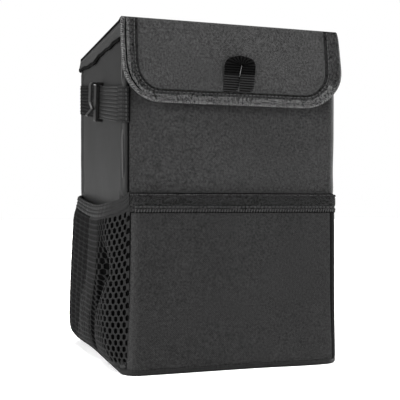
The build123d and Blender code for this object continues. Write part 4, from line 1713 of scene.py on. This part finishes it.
@dataclass
class Flap:
    """The front flap with its bound edge, pull loop and touch fastener (mm)."""

    sizes: BinSizes
    corner: float = 28.0
    curl_left: float = 5.0
    curl_right: float = 5.5
    flare_left: float = 0.4
    flare_right: float = 2.0
    lean: float = 1.2
    slack: float = 0.35
    binding: float = 9.0
    binding_side: float = 1.25
    outer_band: float = 5.4
    tape: float = 0.7
    groove_in: float = 1.5
    stiffener: float = 0.8
    film: float = 0.3
    lap: float = 9.0
    fold: float = 1.6
    pull_width: float = 11.8
    pull_half: float = 0.8
    pull_spread: float = 0.04
    pull_rib: float = 0.15
    pull_ribs: float = 1.8
    pull_stand: float = 4.0
    pull_squat: float = 0.6
    pull_press: float = 6.5
    pull_droop: float = 1.5
    pull_roof: float = 0.35
    pile_share: float = 0.8
    pile_inset: float = 1.6
    fuzz: float = 0.12
    fuzz_run: float = 3.0
    half: float = field(init=False)
    low: float = field(init=False)
    top: float = field(init=False)
    outer: float = field(init=False)
    inner: float = field(init=False)

    def __post_init__(self) -> None:
        """Reads the flap's box."""
        low, high = box_mm("flap_binding")
        self.half = high[0]
        self.low, self.top = low[2], high[2]
        self.outer = -box_mm("flap_cover")[0][1]
        self.inner = -box_mm("flap_lining")[1][1]

    @property
    def mid(self) -> float:
        """Distance of the flap's middle surface from the bin's middle."""
        return (self.outer + self.inner) / 2

    def surface(self, x: Array, z: Array) -> Array:
        """Middle surface of the flap.

        Args:
            x: Places across the flat flap.
            z: Levels on the flat flap.

        Returns:
            Points, with the free side edges curled forwards.
        """
        drop = np.clip((self.top - z) / (self.top - self.low), 0, 1)
        edge = np.abs(x) / self.half
        curl = np.where(x > 0, self.curl_right, self.curl_left) * smooth(drop, 0.05, 0.75) * edge**5
        flare = np.where(x > 0, self.flare_right, -self.flare_left)
        flare = flare * np.sin(np.sqrt(drop) * math.pi * 0.8) * edge**3
        soft = self.slack * ripple(x, z, 60, 61) * smooth(drop, 0.1, 0.5)
        return np.stack([x + flare, -self.mid - curl - soft - self.lean * smooth(drop, 0.0, 1.0), z], axis=-1)

    def normal(self, x: Array, z: Array) -> Array:
        """Outward direction of the flap's surface.

        Args:
            x: Places across the flat flap.
            z: Levels on the flat flap.

        Returns:
            Unit normals.
        """
        run = self.surface(x + 0.5, z) - self.surface(x - 0.5, z)
        rise = self.surface(x, z + 0.5) - self.surface(x, z - 0.5)
        return unit(np.cross(run, rise))

    def grid(self, inset: float, top: float, offset: float) -> Array:
        """Grid over the flap down to its rounded lower edge.

        Args:
            inset: Distance in from the bound edge.
            top: Level of the upper edge.
            offset: Distance out from the middle surface.

        Returns:
            Points, columns by rows.
        """
        r = self.corner - inset
        straight = self.half - self.corner
        arc = straight + r * np.sin(np.linspace(0, math.pi / 2, 16))
        x = np.concatenate([-arc[::-1], np.linspace(-straight, straight, 40)[1:-1], arc])
        into = np.clip(np.abs(x) - straight, 0, r)
        low = self.low + self.corner - np.sqrt(r * r - into * into)
        share = np.linspace(0, 1, 24)
        gx = np.repeat(x[:, None], len(share), axis=1)
        gz = top - share[None, :] * (top - low)[:, None]
        return self.surface(gx, gz) + self.normal(gx, gz) * offset

    def build(self) -> None:
        """Makes every piece of the flap."""
        self.cover_cloth()
        front, rear = np.array([0, -1, 0]), np.array([0, 1, 0])
        core = self.grid(self.binding, self.top - 2, 0.0)
        stiff = sheet("flap_stiffener_sheet", core, self.stiffener, BOARD, front)
        install(stiff, Body.FLAP, BOARD, "flap_stiffener")
        inside = self.grid(0.8, self.top - 3.2, self.inner - self.mid + 0.2)
        film = sheet("flap_film", inside, self.film, FILM, rear)
        install(film, Body.FLAP, FILM, "flap_lining")
        self.edge_tape()
        self.pull_tab()
        self.fastener()

    def cover_cloth(self) -> None:
        """Outer cloth, which runs over the fold and under the lid's top cloth."""
        s, r = self.sizes, self.fold
        face = self.grid(0.6, self.top - r, self.outer - self.mid - s.cloth / 2)
        x = face[:, 0, 0]
        front_y = face[len(face) // 2, 0, 1]
        lid_y = -s.lid_front + self.lap
        over = [
            (front_y + r * (1 - math.cos(a)), self.top - r + r * math.sin(a))
            for a in np.linspace(0, math.pi / 2, 7)[1:]
        ]
        for y in np.linspace(front_y + r, lid_y, 6)[1:]:
            over.append((y, self.top - 0.9 * float(smooth(y, -s.lid_front + 3, lid_y))))
        rows = [np.stack([x, np.full_like(x, y), np.full_like(x, z)], axis=-1) for y, z in over[::-1]]
        grid = np.concatenate([np.stack(rows, axis=1), face], axis=1)
        # The flap takes a paler copy of the cloth: painted light
        made = sheet("flap_cloth", grid, s.cloth, LIT_FLAP_CLOTH, np.array([0, -1, 0.3]))
        start, end = (0, -s.lid_front, self.top + 0.6), (0, -s.lid_front - 2.0, self.top - 2.4)
        bridge(made, (Body.LID, Body.FLAP), start, end, LIT_FLAP_CLOTH, "flap_cover")

    def edge_line(self, inset: float, steps: int = 14) -> Array:
        """Line along the flap's bound edge, left top to right top.

        Args:
            inset: Distance in from the lower edge; the side edges are bound a little wider.
            steps: Points on each rounded corner.

        Returns:
            Places across and levels.
        """
        across, down = self.corner - inset * self.binding_side, self.corner - inset
        turn = np.linspace(0, math.pi / 2, steps)
        level, straight = self.low + self.corner, self.half - self.corner
        up = np.linspace(self.top - 0.6, level, 12)[:-1]
        left = np.stack([np.full(len(up), -straight - across), up], axis=-1)
        arc = np.stack([-straight - across * np.cos(turn), level - down * np.sin(turn)], axis=-1)
        flat = np.linspace(-straight, straight, 44)[1:-1]
        bottom = np.stack([flat, np.full(len(flat), level - down)], axis=-1)
        mirror = np.array([-1, 1])
        return np.concatenate([left, arc, bottom, (arc * mirror)[::-1], (left * mirror)[::-1]])

    def inset(self, x: float, z: float) -> float:
        """Distance of a place on the flap from its free edge.

        Args:
            x: Place across.
            z: Level.

        Returns:
            The distance, measured inwards.
        """
        across, down = abs(x) - self.half + self.corner, self.low + self.corner - z
        if across < 0:
            return self.corner - down
        return self.corner - math.hypot(across, max(down, 0))

    def bound(self, inset: float, out: float) -> Array:
        """Line of points along the flap's bound edge.

        Args:
            inset: Distance in from the lower edge.
            out: Distance out from the middle surface.

        Returns:
            Points, left top to right top.
        """
        x, z = self.edge_line(inset).T
        return self.surface(x, z) + self.normal(x, z) * out

    def tensioned(self, middle: Array) -> bool:
        """Whether a point of the binding lies in its band of painted highlight.

        Args:
            middle: The point.

        Returns:
            True in its outer band, but not high on the right side.
        """
        x, _, z = middle
        tight = x < self.half - 0.4 * self.corner or z < self.low + 0.6 * self.corner
        return tight and self.inset(x, z) < self.outer_band

    def edge_tape(self) -> None:
        """Tape folded over the free edge: a rolled rim, a flat band and a deep sewn groove on each face."""
        stack = (self.outer - self.inner) / 2
        out, groove = stack + self.tape, self.binding - self.groove_in
        section = [
            (self.binding, stack - 0.1), (self.binding - 0.25, out - 0.15), (groove + 0.75, out),
            (groove, out - 0.65), (groove - 0.75, out), (5.6, out - 0.1), (4.4, out + 0.25),
            (3.2, out + 0.05), (2.3, out - 0.5), (1.6, out), (0.8, out - 0.1), (0.15, out - 0.7),
            (-0.1, stack * 0.35),
        ]
        section += [(d, -n) for d, n in section[::-1]]
        rings = np.stack([self.bound(inset, n) for inset, n in section], axis=1)
        under_lid = (rings[..., 2] > self.sizes.lid_low - 1.5) & (rings[..., 1] > -self.inner)
        rings[..., 1] = np.where(under_lid, -self.inner, rings[..., 1])
        tape = loft("flap_edge_tape", rings, TAPE)
        # The outer band takes the paler tape: painted highlight
        shade_faces(tape, (HIGHLIGHT_TAPE,), self.tensioned)
        install(tape, Body.FLAP, TAPE, "flap_binding")
        band = [(0.5, -0.6), (0.3, 0.05), (-0.6, 0.25), (-1.7, 0.1), (-1.9, -0.3), (-0.7, -0.7)]
        strip = np.stack([self.bound(self.binding + inset, out + n) for inset, n in band], axis=1)
        install(loft("flap_overlock", strip, OVERLOCK), Body.FLAP, OVERLOCK)
        # Black roll along the fold: painted shade line
        roll("flap_fold_line", self.bound(2.4, out - 0.35)[:20], 0.55, SHADE_WELT, Body.FLAP)
        # Pale roll along the rim: painted highlight
        roll("flap_rim", self.bound(0.45, out - 0.75), 0.8, RIM_HIGHLIGHT_TAPE, Body.FLAP)
        x, z = self.edge_line(groove).T
        here, up = self.surface(x, z), self.normal(x, z)
        rows = [(here + up * (out + 0.15), up), (here[6:-6] - up[6:-6] * (out - 0.5), -up[6:-6])]
        LOCKSTITCH.sew("flap_stitches", rows, Body.FLAP)

    def pull_tab(self) -> None:
        """Webbing loop sewn in at the lower binding, folded side by side and standing off at its top."""
        low, high = box_mm("pull_loop")
        high[2] -= self.pull_droop
        middle = (low[0] + high[0]) / 2
        half, r = self.pull_width / 2, self.pull_width / 2 + 0.3
        crest = high[2] - (half + r) * self.pull_squat
        fine = self.pull_ribs / 8
        legs = np.arange(low[2] - 1.0, crest, fine)
        turn = np.arange(0, math.pi, fine / r)
        roof = np.abs(np.cos(turn))
        fall = self.pull_roof * roof + (1 - self.pull_roof) * roof**8
        arch_out = np.stack([-np.cos(turn), 1 - fall], axis=-1)
        left = np.stack([np.full(len(legs), -r), legs], axis=-1)
        path = np.concatenate([left, arch_out * r + np.array([0, crest]), (left * np.array([-1, 1]))[::-1]])
        outward = np.tile([1.0, 0.0], (len(legs), 1))
        side = np.concatenate([-outward, arch_out, outward])
        rib = self.pull_rib * np.cos(lengths(path) * 2 * math.pi / self.pull_ribs)
        rise = smooth(path[:, 1], low[2], high[2])
        base = (low[1] + high[1]) / 2 + 0.3 - self.pull_stand * rise
        section = [(-1, -0.5), (-1, 0.4), (-0.9, 0.9), (-0.45, 1), (0, 1), (0.45, 1), (0.9, 0.9), (1, 0.4)]
        section += [(1, -0.5), (0.85, -1), (0, -1), (-0.85, -1)]
        rings = []
        for across, n in section:
            spread = self.pull_spread * (path[:, 1] - low[2]) * (across < 0)
            x = middle + path[:, 0] + side[:, 0] * across * half + spread
            z = path[:, 1] + side[:, 1] * across * half
            z = np.where(z > crest, crest + (z - crest) * self.pull_squat, z)
            y = base - n * (self.pull_half + rib) + 0.5 * across * np.sign(path[:, 0]) * (1 - rise)
            rings.append(np.stack([x, y, z], axis=-1))
        made = loft("pull_tab_webbing", np.stack(rings, axis=1), PULL_WEBBING)
        # The top of the loop takes the blacker webbing: painted shade
        shade_faces(made, (SHADED_PULL_WEBBING,), lambda centre: centre[2] > crest - self.pull_press)
        install(made, Body.FLAP, PULL_WEBBING, "pull_loop")
        # A pale roll along the slit: painted highlight
        front = base[len(legs)] - 0.9
        slit = [(middle + x, front, crest + z) for x, z in ((-0.9, -8.5), (0.0, -4.0), (1.0, 0.5))]
        roll("pull_tab_highlight_line", np.array(slit), 0.32, HIGHLIGHT_THREAD, Body.FLAP)

    def fastener(self) -> None:
        """Both halves of the touch fastener, each sewn round its edge."""
        for node, body, facing in (("hook_strip", Body.FLAP, 1.0), ("loop_strip", Body.BIN, -1.0)):
            low, high = box_mm(node)
            across, up = np.linspace(low[0], high[0], 91), np.linspace(low[2], high[2], 21)
            x, z = np.meshgrid(across, up, indexing="ij")
            fuzz = self.fuzz * ripple(x, z, self.fuzz_run, 51)
            grid = np.stack([x, (low[1] + high[1]) / 2 + facing * fuzz, z], axis=-1)
            thick = (high[1] - low[1]) * self.pile_share
            made = sheet(f"{node}_pile", grid, thick, PILE, np.array([0, facing, 0]))
            install(made, body, PILE, node)
            inset, face_y = self.pile_inset, high[1] - 0.1 if facing > 0 else low[1] + 0.1
            x0, x1, z0, z1 = low[0] + inset, high[0] - inset, low[2] + inset, high[2] - inset
            loop = [np.array([cx, face_y, cz]) for cx, cz in ((x0, z0), (x1, z0), (x1, z1), (x0, z1))]
            out = np.tile([0.0, facing, 0.0], (30, 1))
            runs = [(np.linspace(loop[k], loop[(k + 1) % 4], 30), out) for k in range(4)]
            LOCKSTITCH.sew(f"{node}_stitches", runs, body)


@dataclass
class Studio:
    """Pale floor, soft light and the camera of the photograph."""

    camera_mm: tuple[float, float, float] = (-206.0, -634.0, 120.0)
    yaw_deg: float = -18.23
    focal_px: float = 792.0
    frame_px: float = 400.0
    horizon_drop_px: float = 6.4
    sensor_mm: float = 36.0
    floor_m: float = 12.0
    floor_glow: float = 0.4
    surround: float = 0.28

    def build(self) -> None:
        """Makes the floor, the lights and the camera."""
        self.floor()
        self.lights()
        self.camera()

    def floor(self) -> None:
        """Large pale floor, lit from below like a photographer's table, which softens the shadow on it."""
        made = bpy.data.materials.new("pale_studio_floor")
        made.use_nodes = True
        tree = made.node_tree
        shader = tree.nodes["Principled BSDF"]
        shader.inputs["Base Color"].default_value = linear_rgba("#fbfbfb")
        shader.inputs["Roughness"].default_value = 0.9
        shader.inputs["Emission Color"].default_value = WHITE
        seen = add_node(tree, "ShaderNodeLightPath").outputs["Is Camera Ray"]
        tree.links.new(math_node(tree, "MULTIPLY", seen, self.floor_glow), shader.inputs["Emission Strength"])
        half = self.floor_m / 2
        mesh = bpy.data.meshes.new("studio_floor")
        corners = [(-half, -half, 0), (half, -half, 0), (half, half, 0), (-half, half, 0)]
        mesh.from_pydata(corners, [], [(0, 1, 2, 3)])
        mesh.materials.append(made)
        floor = bpy.data.objects.new("studio_floor", mesh)
        bpy.context.scene.collection.objects.link(floor)

    def lights(self) -> None:
        """Dim white surroundings, with soft light from both sides, from above and from the front."""
        world = bpy.data.worlds.new("studio")
        world.use_nodes = True
        tree = world.node_tree
        seen = add_node(tree, "ShaderNodeLightPath").outputs["Is Camera Ray"]
        strength = math_node(tree, "MULTIPLY_ADD", seen, 1.0 - self.surround, self.surround)
        back = tree.nodes["Background"]
        back.inputs["Color"].default_value = WHITE
        tree.links.new(strength, back.inputs["Strength"])
        bpy.context.scene.world = world
        bpy.context.scene.view_settings.view_transform = "Standard"
        self.lamp("left_soft_light", (-1.3, -0.32, 0.3), 5.6, 40.0)
        self.lamp("right_soft_light", (1.3, 0.05, 0.25), 6.0, 40.0)
        self.lamp("top_soft_light", (-0.25, -0.2, 2.0), 3.2, 25.0)
        self.panel("front_soft_light", (0.2, -0.85, 0.8), (0.0, 0.0, 0.2), 0.5, 6.0)

    def lamp(self, name: str, place: Sequence[float], strength: float, spread_deg: float) -> None:
        """Adds one far soft light that shines towards the bin.

        Args:
            name: Name of the light.
            place: Direction that it shines from.
            strength: Its strength.
            spread_deg: How wide it looks from the bin.
        """
        light = bpy.data.lights.new(name, "SUN")
        light.energy = strength
        light.angle = math.radians(spread_deg)
        self.hang(light, place, (0.0, 0.0, 0.0))

    def panel(
        self, name: str, place: Sequence[float], target: Sequence[float], size: float, watts: float
    ) -> None:
        """Adds one square soft light near the bin, turned towards a point.

        Args:
            name: Name of the light.
            place: Where it stands.
            target: Point that it shines at.
            size: Its side in metres.
            watts: Its power.
        """
        light = bpy.data.lights.new(name, "AREA")
        light.size = size
        light.energy = watts
        self.hang(light, place, target)

    def hang(self, light: bpy.types.Light, place: Sequence[float], target: Sequence[float]) -> None:
        """Puts a light in its place and turns it towards a point.

        Args:
            light: The light.
            place: Where it stands.
            target: Point that it shines at.
        """
        lamp = bpy.data.objects.new(light.name, light)
        lamp.location = place
        x, y, z = (b - a for a, b in zip(place, target))
        lamp.rotation_euler = (math.atan2(math.hypot(x, y), -z), 0.0, math.atan2(-x, y))
        bpy.context.scene.collection.objects.link(lamp)

    def camera(self) -> None:
        """Level camera at the photograph's height and angle."""
        data = bpy.data.cameras.new("photo_camera")
        data.sensor_width = self.sensor_mm
        data.lens = self.focal_px / self.frame_px * self.sensor_mm
        data.shift_y = self.horizon_drop_px / self.frame_px
        data.clip_start = 0.01
        camera = bpy.data.objects.new("photo_camera", data)
        camera.location = tuple(v * MM for v in self.camera_mm)
        camera.rotation_euler = (math.pi / 2, 0.0, math.radians(self.yaw_deg))
        bpy.context.scene.collection.objects.link(camera)
        bpy.context.scene.camera = camera


def main() -> None:
    """Builds the bin from its sub-assemblies."""
    logging.basicConfig(level=logging.INFO, format="%(message)s")
    sizes = BinSizes()
    CoveredBody(sizes).build()
    FrontPocket(sizes).build()
    for side in Side:
        NetPocket(sizes, side).build()
        SideStrap(sizes, side).build()
        StrapHook(side).build()
    Lid(sizes).build()
    Flap(sizes).build()
    Studio().build()


if __name__ == "__main__":
    main()
